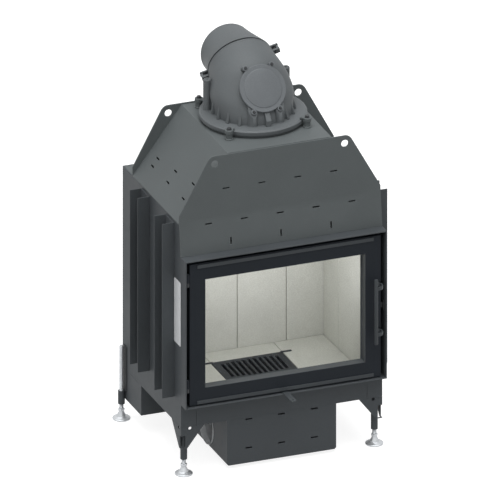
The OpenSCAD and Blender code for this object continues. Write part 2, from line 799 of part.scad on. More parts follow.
// Each arm leaves the shaft straight, then bends round to the bar in one arc
module handle_arm() difference() {
    bend_r = handle_stand / 2 - 5;
    bend = [handle_x + handle_d / 2 + 1.5, handle_y + bend_r - 1];
    union() {
        plan_prism(concat(
            [[latch_x - arm_t / 2, latch_y], [latch_x + arm_t / 2, latch_y]],
            arc(bend, bend_r + arm_t / 2, 62, -104, 20), arc(bend, bend_r - arm_t / 2, -104, 62, 20)
        ), 0, arm_h);
        translate([latch_x, latch_y, 0]) cylinder(d = latch_shaft_d + 5, h = arm_h);
    }
    translate([latch_x, latch_y, -1]) cylinder(d = latch_shaft_d, h = arm_h + 2);
    translate([handle_x, handle_y, -1]) cylinder(d = handle_d, h = arm_h + 2);
}

module handle_arms() color(trim_paint) placed() for (s = [-1, 1])
    translate([0, 0, handle_z + s * arm_pitch / 2 - arm_h / 2]) handle_arm();

module latch_cam() color(iron_colour) placed() difference() {
    union() {
        translate([latch_x, latch_y, handle_z - cam_h / 2]) cylinder(d = latch_shaft_d + 7, h = cam_h);
        box([latch_x, latch_y - 1, handle_z - cam_h / 2],
            [in_w - keeper_t - turn_gap, latch_y + 6, handle_z + cam_h / 2]);
    }
    translate([latch_x, latch_y, handle_z - cam_h]) cylinder(d = latch_shaft_d, h = 2 * cam_h);
}

module latch_keeper() color(iron_colour) placed()
    box([in_w - keeper_t, latch_y - 8, handle_z - cam_h], [in_w, latch_y + 2, handle_z + cam_h]);

// Air lever, its shaft and the damper blade that it swings over the air port

module lever_pose() translate([0, lever_y, 0]) children();

module air_lever() color(body_paint) placed() lever_pose() difference() {
    union() {
        box([-lever_w / 2, -lever_l + lever_w / 2, lever_z - lever_t / 2], [lever_w / 2, 0, lever_z + lever_t / 2]);
        for (y = [0, -lever_l + lever_w / 2])
            translate([0, y, lever_z - lever_t / 2]) cylinder(d = lever_w, h = lever_t);
    }
    translate([0, 0, lever_z - lever_t]) cylinder(d = lever_pin_d, h = 2 * lever_t);
    translate([0, 0.65 * lever_w - lever_l, lever_z - lever_t]) cylinder(d = lever_hole_d, h = 2 * lever_t);
}

module lever_shaft() color(zinc_colour) placed() lever_pose() {
    translate([0, 0, body_bottom - 8]) cylinder(d = lever_shaft_d, h = lever_z - lever_t / 2 - body_bottom + 8);
    translate([0, 0, lever_z - lever_t / 2 - eps]) cylinder(d = lever_pin_d, h = lever_t + 2);
}

module air_damper() color(zinc_colour) placed() lever_pose() difference() {
    translate([0, 0, body_bottom - 6]) union() {
        cylinder(d = lever_shaft_d + 10, h = 4);
        box([-damper_w / 2, 8, 0], [damper_w / 2, damper_l, 3]);
        box([-lever_shaft_d / 2, 0, 0], [lever_shaft_d / 2, 12, 3]);
    }
    translate([0, 0, body_bottom - 9]) cylinder(d = lever_shaft_d, h = 10);
}

// Flue collar, dome and outlet

module dome_place() placed() translate([0, dome_y, dome_z]) children();

module flue_collar() color(hood_paint) placed() translate([0, dome_y, hood_top]) difference() {
    cylinder(r = collar_r, h = collar_h, $fn = 96);
    translate([0, 0, -1]) cylinder(r = bore_r, h = collar_h + 2, $fn = 96);
}

// Four clamps on the hood hold the dome's flange and let it turn
module dome_clamps() color(hood_paint) dome_place() for (a = [45:90:315]) rotate([0, 0, a]) {
    middle = (dome_flange_d + clamp_post_d) / 2 + 2;
    foot_z = -collar_h - turn_gap;
    top = dome_flange_h + 8;
    translate([middle, 0, foot_z]) cylinder(d = clamp_post_d, h = top - foot_z);
    box([dome_flange_d / 2 - 7, -10, dome_flange_h + turn_gap], [middle, 10, top]);
    translate([middle, 0, top - eps]) cylinder(d = 15, h = 6, $fn = 6);
}

// The dome's body bulges and tapers from its round foot to the tilted seat
module dome_body(grow, low, drop) hull() {
    translate([0, 0, low]) cylinder(r = dome_d / 2 + grow, h = 1, $fn = 48);
    translate(bulge_centre) rotate([-bulge_tilt, 0, 0]) translate([0, 0, -1])
        cylinder(r = bulge_r + grow, h = 1, $fn = 48);
    seat_pose() translate([0, 0, -drop - 1]) cylinder(r = seat_r + grow, h = 1, $fn = 48);
}

module seat_pose() translate(seat_centre) rotate([-seat_tilt, 0, 0]) children();

module cover_pose() translate(cover_centre) rotate([cover_tilt, 0, 0]) children();

module flue_dome() color(cast_paint) dome_place() {
    flange_r = dome_flange_d / 2;
    difference() {
        union() {
            rotate_extrude($fn = 96) polygon([
                [bore_r, 0], [flange_r, 0], [flange_r, dome_flange_h - 2], [flange_r - 2, dome_flange_h],
                [bore_r, dome_flange_h]
            ]);
            dome_body(0, dome_flange_h - 1, 0);
            intersection() {
                dome_body(rib_depth, dome_flange_h - 1, 14);
                for (i = [0:rib_count - 1]) let (a = 360 / rib_count * i - 90)
                    if (sin(a) < 0.8) rotate([0, 0, a])
                        box([dome_d / 4, -rib_w / 2, dome_flange_h - 2], [dome_d, rib_w / 2, skirt_z + rib_h]);
            }
            cover_pose() translate([0, 0, -60]) cylinder(d = cover_d + 4, h = 60, $fn = 96);
            cover_pose() cover_lugs(-60, lug_d, 60);
            both_sides() rotate([0, 0, column_turn]) {
                translate([column_r, 0, dome_flange_h - 1]) cylinder(d = column_d, h = column_h);
                box([dome_d / 2 - 10, -rib_w / 2, dome_flange_h - 1], [column_r, rib_w / 2, dome_flange_h + column_h - 4]);
            }
            both_sides() translate([lug_r * cos(lug_turn), cover_centre[1] - 28, dome_flange_h - 1])
                cylinder(d = lug_post_d, h = skirt_z + 5);
        }
        dome_body(-dome_wall, skirt_z - 2, 10);
        translate([0, 0, -1]) cylinder(r = bore_r, h = skirt_z + 2, $fn = 96);
        seat_pose() translate([0, 0, -30]) cylinder(r = seat_r - 2 * dome_wall, h = 31, $fn = 96);
        cover_pose() translate([0, 0, -62]) cylinder(d = cover_d - 36, h = 63, $fn = 96);
        cover_pose() cylinder(d = cover_d + 8, h = 30, $fn = 96);
        cover_pose() cover_lugs(0, lug_d + 2, 30);
        seat_pose() clamp_feet(-3, 1);
    }
}

module cover_lugs(z, d, h) for (a = [lug_turn, 180 - lug_turn, 180 + lug_turn, 360 - lug_turn])
    rotate([0, 0, a]) translate([lug_r, 0, z]) cylinder(d = d, h = h);

module inspection_cover() color(cast_paint) dome_place() cover_pose() difference() {
    union() {
        cylinder(d = cover_d, h = cover_t - 2, $fn = 96);
        cylinder(d = cover_d - 28, h = cover_t, $fn = 96);
        cover_lugs(0, lug_d, cover_t - 1);
    }
    cover_lugs(-1, screw_d, cover_t + 2);
}

module cover_screws() color(iron_colour) dome_place() cover_pose() {
    cover_lugs(0, screw_d, cover_t);
    cover_lugs(cover_t - 1, screw_d + 5, 5);
}

module clamp_feet(inset, top) for (a = [clamp_turn, clamp_turn + 180]) rotate([0, 0, a])
    box([seat_r + inset, -11, -12], [seat_r + clamp_out, 11, top]);

// Two clamps on the dome hold the outlet's flange and let it turn
module outlet_clamps() color(cast_paint) dome_place() seat_pose() {
    over = outlet_flange_t + 2 * turn_gap;
    clamp_feet(-3, 0);
    clamp_feet(0, over + 6);
    for (a = [clamp_turn, clamp_turn + 180]) rotate([0, 0, a])
        box([seat_r - 4, -8, over], [seat_r + clamp_out - 2, 8, over + 6]);
}

module flue_outlet() color(cast_paint) dome_place() seat_pose() translate([0, 0, turn_gap])
    rotate([0, 0, outlet_turn]) difference() {
        union() {
            cylinder(r = seat_r - 1, h = outlet_flange_t, $fn = 96);
            intersection() {
                rotate([0, outlet_mitre, 0]) translate([0, 0, -60]) cylinder(d = outlet_d, h = outlet_l + 60, $fn = 96);
                box([-200, -200, 0], [200, 200, 300]);
            }
        }
        socket_d = outlet_d - 2 * outlet_wall;
        rotate([0, outlet_mitre, 0]) {
            translate([0, 0, -60]) cylinder(d = socket_d - 2 * socket_step, h = outlet_l + 61, $fn = 96);
            translate([0, 0, outlet_l - outlet_socket]) cylinder(d = socket_d, h = outlet_socket + 1, $fn = 96);
        }
    }

// Legs and feet

module leg_corner() {
    low = body_bottom - leg_h;
    hole_z = body_bottom - leg_hole_drop;
    difference() {
        union() {
            front_profile([[half_w - leg_front_w, body_bottom], [half_w, body_bottom],
                [half_w, low], [half_w - leg_front_foot, low]], body_front, body_front + sheet);
            side_profile([[body_front, body_bottom], [body_front + leg_side_w, body_bottom],
                [body_front + leg_side_foot, low], [body_front, low]], in_w, half_w);
        }
        box([half_w - leg_notch[0], body_front - 1, low + 3],
            [half_w + 1, body_front + 12, body_bottom - leg_notch[1]]);
        translate([half_w - leg_hole_in[0], body_front - 1, hole_z]) rotate([-90, 0, 0])
            cylinder(d = leg_hole_d, h = sheet + 2);
        translate([in_w - 1, body_front + leg_hole_in[1], hole_z]) rotate([0, 90, 0])
            cylinder(d = leg_hole_d, h = sheet + 2);
    }
}

module front_leg_brackets() color(body_paint) placed() both_sides() leg_corner();

module sleeve(top) difference() {
    translate([0, 0, sleeve_bottom]) cylinder(d = sleeve_d, h = top - sleeve_bottom);
    translate([0, 0, sleeve_bottom - 1]) cylinder(d = stem_d + 2 * run_gap, h = top - sleeve_bottom + 2);
}

module leg_sleeves() color(body_paint) placed() both_sides() {
    translate([front_foot[0], front_foot[1], 0]) sleeve(body_bottom);
    translate([rear_foot[0], rear_foot[1], 0]) sleeve(rear_sleeve_top);
}

// A bar on each side wall stands on the rear sleeve, beside the rod
module rear_leg_brackets() color(iron_colour) placed() both_sides() difference() {
    back = rear_foot[1] + bar_back;
    box([half_w, back - bar_w, rear_sleeve_top], [half_w + bar_t, back, rear_rod_h]);
    translate([rear_foot[0], rear_foot[1], rear_sleeve_top - 1])
        cylinder(d = stem_d + 2 * run_gap, h = rear_rod_h - rear_sleeve_top + 2);
}

module foot(top) rotate_extrude() polygon([
    [0, 0], [foot_d / 2, 0], [foot_d / 2, 5], [foot_d / 2 - 3, 7.5], [15, 11], [15, 16],
    [stem_d / 2 + 1.5, stem_bottom], [stem_d / 2, stem_bottom], [stem_d / 2, top - 1],
    [stem_d / 2 - 1, top], [0, top]
]);

module foot_front_left() color(zinc_colour) placed()
    translate([-front_foot[0], front_foot[1], 0]) foot(body_bottom - 30);

module foot_front_right() color(zinc_colour) placed()
    translate([front_foot[0], front_foot[1], 0]) foot(body_bottom - 30);

module foot_rear_left() color(zinc_colour) placed()
    translate([-rear_foot[0], rear_foot[1], 0]) foot(rear_rod_h);

module foot_rear_right() color(zinc_colour) placed()
    translate([rear_foot[0], rear_foot[1], 0]) foot(rear_rod_h);

left_side_wall();
right_side_wall();
back_wall();
rear_top_cover();
firebox_back();
bottom_plate();
front_apron();
door_surround();
door_seat();
front_air_box();
rear_air_box();
air_spigot();
left_convection_fins();
right_convection_fins();
type_plate();
hood_shell();
hood_front_plate();
hood_rear_plate();
flue_collar();
dome_clamps();
throat_plate();
smoke_baffle();
back_firebricks();
side_firebricks();
floor_firebricks();
hearth_frame();
front_leg_brackets();
rear_leg_brackets();
leg_sleeves();
hinge_pins();
latch_keeper();
door_frame();
door_strips();
window_glass();
glass_gasket();
door_back_plate();
door_rope_seal();
door_knuckles();
latch_bearings();
handle_bar();
handle_arms();
latch_shaft();
latch_cam();
air_lever();
lever_shaft();
air_damper();
grate();
ash_pan();
flue_dome();
inspection_cover();
cover_screws();
outlet_clamps();
flue_outlet();
foot_front_left();
foot_front_right();
foot_rear_left();
foot_rear_right();
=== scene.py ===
import json
import math
import bmesh
import bpy
from mathutils import Matrix, Vector


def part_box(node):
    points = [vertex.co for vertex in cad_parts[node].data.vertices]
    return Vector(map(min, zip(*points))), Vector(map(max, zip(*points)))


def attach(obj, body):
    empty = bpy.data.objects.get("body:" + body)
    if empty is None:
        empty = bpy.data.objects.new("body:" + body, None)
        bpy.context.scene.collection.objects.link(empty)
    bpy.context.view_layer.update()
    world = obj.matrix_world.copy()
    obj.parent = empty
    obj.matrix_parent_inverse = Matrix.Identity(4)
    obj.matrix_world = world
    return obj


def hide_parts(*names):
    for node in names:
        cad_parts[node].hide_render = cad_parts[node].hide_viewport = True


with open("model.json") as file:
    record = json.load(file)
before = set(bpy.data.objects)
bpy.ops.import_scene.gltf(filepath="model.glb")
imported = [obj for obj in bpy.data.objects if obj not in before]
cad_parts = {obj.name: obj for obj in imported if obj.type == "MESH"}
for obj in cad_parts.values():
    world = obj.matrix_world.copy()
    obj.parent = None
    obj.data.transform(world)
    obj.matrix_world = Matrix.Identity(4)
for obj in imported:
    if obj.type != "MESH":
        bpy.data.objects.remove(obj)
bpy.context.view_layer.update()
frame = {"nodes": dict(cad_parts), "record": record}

nodes = frame["nodes"]
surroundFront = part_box("door_surround")[0][1]
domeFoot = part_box("flue_dome")[0][2] * 1000
print("frame loaded,", len(nodes), "nodes")


def at(x, y, z):
    # millimetres to metres; depths count from the surround's front edge
    return Vector((x / 1000, y / 1000 + surroundFront, z / 1000))


# Camera: a parallel view, fitted to the photo's edges
cameraLook = {
    "turn": 21.159, "rise": 24.198, "width": 1.6393,
    "target": (0, 300, 550), "across": -0.01103, "up": 0.09396, "far": 5.0,
}


def makeCamera(look):
    turn, rise = math.radians(look["turn"]), math.radians(look["rise"])
    right = Vector((math.cos(turn), -math.sin(turn), 0))
    up = Vector((math.sin(turn) * math.sin(rise), math.cos(turn) * math.sin(rise), math.cos(rise)))
    towards = up.cross(right)
    target = at(*look["target"]) + right * look["across"] + up * look["up"]
    bpy.ops.object.camera_add(location=target - towards * look["far"])
    camera = bpy.context.object
    camera.name = "photoCamera"
    camera.rotation_mode = "QUATERNION"
    camera.rotation_quaternion = Matrix((right, up, -towards)).transposed().to_quaternion()
    camera.data.type = "ORTHO"
    camera.data.ortho_scale = look["width"]
    bpy.context.scene.camera = camera


# Modelling helpers, and the gaps in metres and the bend in degrees that they count as none
tolerances = {"gap": 0.000002, "frameGap": 0.000005, "edge": 0.000001, "bend": 0.8}


def selectOnly(piece):
    if bpy.context.object and bpy.context.object.mode == "EDIT":
        bpy.ops.object.mode_set(mode="OBJECT")
    bpy.ops.object.select_all(action="DESELECT")
    piece.select_set(True)
    bpy.context.view_layer.objects.active = piece


def startPiece(name, primitive, **settings):
    bpy.ops.object.select_all(action="DESELECT")
    primitive(**settings)
    piece = bpy.context.object
    piece.name = piece.data.name = name
    return piece


def settle(piece):
    selectOnly(piece)
    bpy.ops.object.transform_apply(location=True, rotation=True, scale=True)
    return piece


def useModifier(piece, kind, **settings):
    selectOnly(piece)
    modifier = piece.modifiers.new(kind.title(), kind)
    for key, value in settings.items():
        setattr(modifier, key, value)
    bpy.ops.object.modifier_apply(modifier=modifier.name)
    return piece


def roundEdges(piece, width, segments=2, angle=30):
    useModifier(piece, "BEVEL", width=width / 1000, segments=segments, limit_method="ANGLE",
                angle_limit=math.radians(angle), use_clamp_overlap=False)
    smooth(piece)
    return useModifier(piece, "WEIGHTED_NORMAL", weight=100, keep_sharp=True)


def smooth(piece, angle=35):
    selectOnly(piece)
    bpy.ops.object.shade_smooth_by_angle(angle=math.radians(angle))
    return piece


def outward(piece):
    selectOnly(piece)
    bpy.ops.object.mode_set(mode="EDIT")
    bpy.ops.mesh.select_all(action="SELECT")
    bpy.ops.mesh.remove_doubles(threshold=tolerances["gap"])
    bpy.ops.mesh.normals_make_consistent(inside=False)
    bpy.ops.object.mode_set(mode="OBJECT")
    return piece


def joined(name, parts):
    selectOnly(parts[0])
    for part in parts[1:]:
        part.select_set(True)
    if len(parts) > 1:
        bpy.ops.object.join()
    parts[0].name = parts[0].data.name = name
    return parts[0]


def copied(piece, move):
    # a copy with its own mesh, moved by a matrix
    selectOnly(piece)
    bpy.ops.object.duplicate()
    twin = bpy.context.object
    twin.data.transform(move)
    return twin


def repeated(piece, places):
    # the piece stands at the first of these places in millimetres, and its copies at the others
    first = Vector(places[0])
    moves = [Matrix.Translation((Vector(place) - first) / 1000) for place in places[1:]]
    return [piece] + [copied(piece, move) for move in moves]


def placed(piece, moves):
    # a copy for each matrix, in place of the piece itself
    copies = [copied(piece, move) for move in moves]
    bpy.data.objects.remove(piece)
    return copies


def around(centre, axis, degrees):
    turn = Matrix.Rotation(math.radians(degrees), 4, axis)
    return Matrix.Translation(centre) @ turn @ Matrix.Translation(-centre)


def block(name, low, high, edge=1.0, segments=2):
    low, high = at(*low), at(*high)
    piece = startPiece(name, bpy.ops.mesh.primitive_cube_add, size=1, location=(low + high) / 2)
    piece.scale = high - low
    settle(piece)
    return roundEdges(piece, edge, segments) if edge else piece


def turned(name, profile, base, direction=(0, 0, 1), steps=72):
    # a profile of radius and height in millimetres, drawn point by point and spun round its axis
    points = [Vector((radius / 1000, 0, height / 1000)) for radius, height in profile]
    piece = startPiece(name, bpy.ops.mesh.primitive_plane_add, size=0.001)
    bpy.ops.object.mode_set(mode="EDIT")
    bpy.ops.mesh.merge(type="CENTER")
    bpy.ops.transform.translate(value=points[0])
    for before, after in zip(points, points[1:]):
        bpy.ops.mesh.extrude_region_move(TRANSFORM_OT_translate={"value": after - before})
    bpy.ops.mesh.select_all(action="SELECT")
    bpy.ops.mesh.spin(steps=steps, angle=2 * math.pi, center=(0, 0, 0), axis=(0, 0, 1))
    bpy.ops.mesh.select_all(action="SELECT")
    bpy.ops.mesh.remove_doubles(threshold=tolerances["gap"])
    bpy.ops.mesh.dissolve_degenerate(threshold=tolerances["edge"])
    bpy.ops.mesh.select_all(action="SELECT")
    bpy.ops.mesh.normals_make_consistent(inside=False)
    bpy.ops.object.mode_set(mode="OBJECT")
    piece.rotation_mode = "QUATERNION"
    piece.rotation_quaternion = Vector(direction).to_track_quat("Z", "Y")
    piece.location = at(*base)
    settle(piece)
    return smooth(piece)


def ring(centre, normal, side, wide, deep=None, sides=96):
    # a circle or an ellipse of millimetres on a plane through its centre
    piece = startPiece("ring", bpy.ops.mesh.primitive_circle_add, vertices=sides, radius=0.001)
    normal, side = Vector(normal).normalized(), Vector(side).normalized()
    turn = Matrix((side, normal.cross(side), normal)).transposed()
    size = Matrix.Diagonal((wide, deep or wide, 1, 1))
    piece.matrix_world = Matrix.Translation(at(*centre)) @ turn.to_4x4() @ size
    return settle(piece)


def lofted(name, rings):
    # rings joined one after the other by bridged faces
    piece = joined(name, rings)
    bpy.ops.object.mode_set(mode="EDIT")
    bpy.ops.mesh.select_all(action="SELECT")
    bpy.ops.mesh.bridge_edge_loops(type="SINGLE")
    bpy.ops.object.mode_set(mode="OBJECT")
    return smooth(outward(piece))


def cutOut(piece, cutters):
    cutter = joined("cutter", cutters)
    useModifier(piece, "BOOLEAN", operation="DIFFERENCE", solver="EXACT", object=cutter)
    bpy.data.objects.remove(cutter)
    return piece


def fromFrame(node, edge=0.8, segments=2, angle=30):
    # a node's own form with its doubled points merged and its edges rounded
    piece = bpy.data.objects.new("cut_" + node, nodes[node].data.copy())
    bpy.context.scene.collection.objects.link(piece)
    selectOnly(piece)
    bpy.ops.object.mode_set(mode="EDIT")
    bpy.ops.mesh.select_all(action="SELECT")
    bpy.ops.mesh.remove_doubles(threshold=tolerances["frameGap"])
    bpy.ops.mesh.dissolve_limited(angle_limit=math.radians(tolerances["bend"]))
    bpy.ops.object.mode_set(mode="OBJECT")
    return roundEdges(piece, edge, segments, angle) if edge else piece


def finish(piece, name, body, material, *replaced):
    piece.name = piece.data.name = name
    piece.data.materials.clear()
    piece.data.materials.append(materials[material])
    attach(piece, body)
    if replaced:
        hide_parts(*replaced)
    return piece


# Materials
class Wire:
    # one shader socket; sums on it add Math nodes
    def __init__(self, tree, socket):
        self.tree = tree
        self.socket = socket

    def add(self, kind, settings=None, inputs=None, output=0):
        node = self.tree.nodes.new(kind)
        for key, value in (settings or {}).items():
            setattr(node, key, value)
        for key, value in (inputs or {}).items():
            if isinstance(value, Wire):
                self.tree.links.new(value.socket, node.inputs[key])
            else:
                node.inputs[key].default_value = value
        return Wire(self.tree, node.outputs[output])

    def maths(self, operation, first, second):
        return self.add("ShaderNodeMath", {"operation": operation}, {0: first, 1: second})

    def __add__(self, other):
        return self.maths("ADD", self, other)

    def __rsub__(self, other):
        return self.maths("SUBTRACT", other, self)

    def __mul__(self, other):
        return self.maths("MULTIPLY", self, other)

    __radd__ = __add__
    __rmul__ = __mul__

    def ramp(self, low, high):
        return self.add("ShaderNodeMapRange", {"clamp": True}, {0: self, 1: low, 2: high, 3: 0.0, 4: 1.0})

    def mix(self, factor, first, second):
        inputs = {0: factor, 6: first, 7: second}
        return self.add("ShaderNodeMix", {"data_type": "RGBA"}, inputs, 2)

    def noise(self, scale, detail=3.0, rough=0.5):
        inputs = {"Vector": self, "Scale": scale, "Detail": detail, "Roughness": rough}
        return self.add("ShaderNodeTexNoise", None, inputs)

    def cells(self, scale):
        return self.add("ShaderNodeTexVoronoi", {"feature": "F1"}, {"Vector": self, "Scale": scale})

    def stretched(self, scale):
        return self.add("ShaderNodeMapping", None, {"Vector": self, "Scale": scale})

    def bump(self, strength, distance):
        inputs = {"Height": self, "Strength": strength, "Distance": distance / 1000}
        return self.add("ShaderNodeBump", None, inputs)


def tone(red, green, blue):
    # a screen colour from 0 to 255 as the linear colour that a shader takes
    shares = [level / 255 for level in (red, green, blue)]
    return (*[share / 12.92 if share < 0.0404 else ((share + 0.055) / 1.055) ** 2.4 for share in shares], 1.0)


def shade(colour, amount):
    return (*[min(1.0, c * amount) for c in colour[:3]], 1.0)


def startShader(name, **fixed):
    material = bpy.data.materials.new(name)
    material.use_nodes = True
    shader = material.node_tree.nodes["Principled BSDF"]
    for key, value in fixed.items():
        shader.inputs[key.replace("_", " ")].default_value = value
    return material, Wire(material.node_tree, None), shader


def startMaterial(name, **fixed):
    # a material whose patterns read the place on the object
    material, board, shader = startShader(name, **fixed)
    return material, board, shader, board.add("ShaderNodeTexCoord", output="Object")


def plug(shader, name, wire):
    wire.tree.links.new(wire.socket, shader.inputs[name])


materials = {}

# Painted sheet and castings: colour, share of cloudiness, grain per metre, bump in mm, roughness and shine
paintLooks = {
    "bodyPaint": {"colour": tone(66, 70, 73), "cloud": 0.08, "grain": 900, "depth": 0.05, "rough": 0.62},
    "hoodPaint": {"colour": tone(85, 90, 91), "cloud": 0.07, "grain": 900, "depth": 0.05, "rough": 0.62},
    "doorPaint": {"colour": tone(33, 37, 42), "cloud": 0.10, "grain": 1000, "depth": 0.04, "rough": 0.6,
                  "shine": 0.12},
    "revealPaint": {"colour": tone(79, 83, 86), "cloud": 0.08, "grain": 700, "depth": 0.03, "rough": 0.55},
    "trimPaint": {"colour": tone(59, 63, 66), "cloud": 0.08, "grain": 700, "depth": 0.03, "rough": 0.5,
                  "shine": 0.2},
    "castPaint": {"colour": tone(89, 93, 95), "cloud": 0.12, "grain": 420, "depth": 0.22, "rough": 0.62},
    "coverPaint": {"colour": tone(98, 102, 105), "cloud": 0.10, "grain": 420, "depth": 0.18, "rough": 0.60},
    "darkSteel": {"colour": tone(52, 54, 56), "cloud": 0.15, "grain": 600, "depth": 0.08, "rough": 0.50},
}
# What all paints share: patches per metre, how much specks and dust show and how pale they are
paintLayers = {"cloud": 5.0, "dust": 38.0, "speckShare": 0.25, "speckPale": 1.35, "dustShare": 0.12,
               "dustPale": 1.5, "shine": 0.28}


def makePaint(name, look, layers):
    shine = look.get("shine", layers["shine"])
    material, board, shader, place = startMaterial(name, Specular_IOR_Level=shine)
    cloud = place.noise(layers["cloud"], 4.0).ramp(0.3, 0.7)
    speck = place.noise(look["grain"] * 0.6, 2.0).ramp(0.45, 0.8)
    dust = place.noise(layers["dust"], 5.0, 0.6).ramp(0.5, 0.9)
    dark, pale = shade(look["colour"], 1 - look["cloud"]), shade(look["colour"], 1 + look["cloud"])
    colour = board.mix(cloud, dark, pale)
    colour = board.mix(speck * layers["speckShare"], colour, shade(look["colour"], layers["speckPale"]))
    colour = board.mix(dust * layers["dustShare"], colour, shade(look["colour"], layers["dustPale"]))
    plug(shader, "Base Color", colour)
    plug(shader, "Roughness", look["rough"] - 0.08 + cloud * 0.08 + dust * 0.10)
    grain = place.noise(look["grain"], 3.0, 0.6) + place.noise(look["grain"] * 0.22, 2.0) * 0.8
    plug(shader, "Normal", grain.bump(0.5, look["depth"]))
    return material


for name, look in paintLooks.items():
    materials[name] = makePaint(name, look, paintLayers)


# Bare metals: colour, roughness, spangles per metre, or 0 for a brushed sheet, and metal share
metalLooks = {
    "zinc": {"colour": tone(196, 199, 202), "rough": 0.38, "spangle": 60, "metal": 0.75},
    "steel": {"colour": tone(168, 170, 172), "rough": 0.32, "spangle": 220, "metal": 0.85},
    "plateMetal": {"colour": tone(226, 228, 230), "rough": 0.45, "spangle": 0, "metal": 0.15},
    # the spigot's zinc, paler and less metallic than the zinc above: painted light for its inside, which lies
    # in shade
    "spigotMetal": {"colour": tone(222, 224, 226), "rough": 0.5, "spangle": 90, "metal": 0.1},
}
# What all bare metals share: fine grain and brushed lines per metre, and the tones they go to
metalLayers = {"fine": 500.0, "brushed": 900.0, "brushing": (1.0, 1.0, 0.04), "fineShare": 0.2,
               "fineDark": 0.7, "patchDark": 0.86, "patchPale": 1.08, "depth": 0.04}


def makeMetal(name, look, layers):
    material, board, shader, place = startMaterial(name, Metallic=look["metal"])
    fine = place.noise(layers["fine"], 3.0).ramp(0.35, 0.75)
    if look["spangle"]:
        patch = place.cells(look["spangle"]).ramp(0.0, 0.9)
    else:
        patch = place.stretched(layers["brushing"]).noise(layers["brushed"], 3.0).ramp(0.3, 0.7)
    dark, pale = shade(look["colour"], layers["patchDark"]), shade(look["colour"], layers["patchPale"])
    colour = board.mix(patch, dark, pale)
    colour = board.mix(fine * layers["fineShare"], colour, shade(look["colour"], layers["fineDark"]))
    plug(shader, "Base Color", colour)
    plug(shader, "Roughness", look["rough"] + patch * 0.12 + fine * 0.06)
    plug(shader, "Normal", (fine + patch * 0.4).bump(0.3, layers["depth"]))
    return material


for name, look in metalLooks.items():
    materials[name] = makeMetal(name, look, metalLayers)

# Firebrick: clouds, flakes and soot spots per metre, and how much the last two darken it
brickLook = {
    "colour": tone(227, 228, 222), "dark": tone(174, 173, 165), "cloud": 9.0, "cloudDark": 0.92,
    "grain": 260, "grainShare": 0.35, "soot": 60.0, "sootShare": 0.25, "rough": 0.86, "depth": 0.35,
}


def makeBrick(look):
    material, board, shader, place = startMaterial("brick", Specular_IOR_Level=0.2)
    cloud = place.noise(look["cloud"], 5.0).ramp(0.3, 0.7)
    flake = place.cells(look["grain"]).ramp(0.1, 0.75)
    soot = place.noise(look["soot"], 6.0, 0.65).ramp(0.55, 0.85)
    colour = board.mix(cloud, shade(look["colour"], look["cloudDark"]), look["colour"])
    colour = board.mix((1 - flake) * look["grainShare"], colour, look["dark"])
    colour = board.mix(soot * look["sootShare"], colour, look["dark"])
    plug(shader, "Base Color", colour)
    plug(shader, "Roughness", look["rough"] + soot * 0.1)
    plug(shader, "Normal", (flake + soot * 0.6).bump(0.6, look["depth"]))
    return material


materials["brick"] = makeBrick(brickLook)

# Cast iron: fine grain and warm patches per metre
ironLook = {
    "colour": tone(62, 66, 72), "rust": tone(78, 72, 68), "metal": 0.25, "grain": 320, "warm": 30.0,
    "warmShare": 0.4, "rough": 0.62, "depth": 0.4,
}


def makeIron(look):
    material, board, shader, place = startMaterial("castIron", Metallic=look["metal"])
    grain = place.noise(look["grain"], 4.0, 0.6)
    warm = place.noise(look["warm"], 5.0).ramp(0.52, 0.8)
    colour = board.mix(grain.ramp(0.3, 0.7), shade(look["colour"], 0.8), shade(look["colour"], 1.2))
    plug(shader, "Base Color", board.mix(warm * look["warmShare"], colour, look["rust"]))
    plug(shader, "Roughness", look["rough"] + warm * 0.2)
    plug(shader, "Normal", grain.bump(0.6, look["depth"]))
    return material


materials["castIron"] = makeIron(ironLook)

# Glass fibre rope, its threads per metre
ropeLook = {"colour": tone(44, 44, 43), "thread": 900, "sheen": 0.3, "rough": 0.85, "depth": 0.3}


def makeRope(look):
    material, board, shader, place = startMaterial("rope", Sheen_Weight=look["sheen"])
    fibre = place.noise(look["thread"], 3.0, 0.7)
    dark, pale = shade(look["colour"], 0.5), shade(look["colour"], 1.6)
    plug(shader, "Base Color", board.mix(fibre.ramp(0.3, 0.7), dark, pale))
    plug(shader, "Roughness", look["rough"] + fibre * 0.1)
    plug(shader, "Normal", fibre.bump(0.8, look["depth"]))
    return material


materials["rope"] = makeRope(ropeLook)

# Glass: nearly clear from the front, with a tint towards its edges and faint smears
glassLook = {
    "colour": tone(40, 44, 46), "clear": 0.01, "edge": 0.3, "bend": 1.45, "smear": 7.0, "rough": 0.03,
}


def makeGlass(look):
    material, board, shader, place = startMaterial("glass", IOR=1.5)
    facing = board.add("ShaderNodeFresnel", None, {"IOR": look["bend"]})
    smear = place.noise(look["smear"], 4.0).ramp(0.45, 0.8)
    plug(shader, "Base Color", board.mix(smear * 0.5, look["colour"], shade(look["colour"], 1.6)))
    plug(shader, "Roughness", look["rough"] + smear * 0.05)
    plug(shader, "Alpha", look["clear"] + facing * look["edge"] + smear * 0.02)
    return material


materials["glass"] = makeGlass(glassLook)
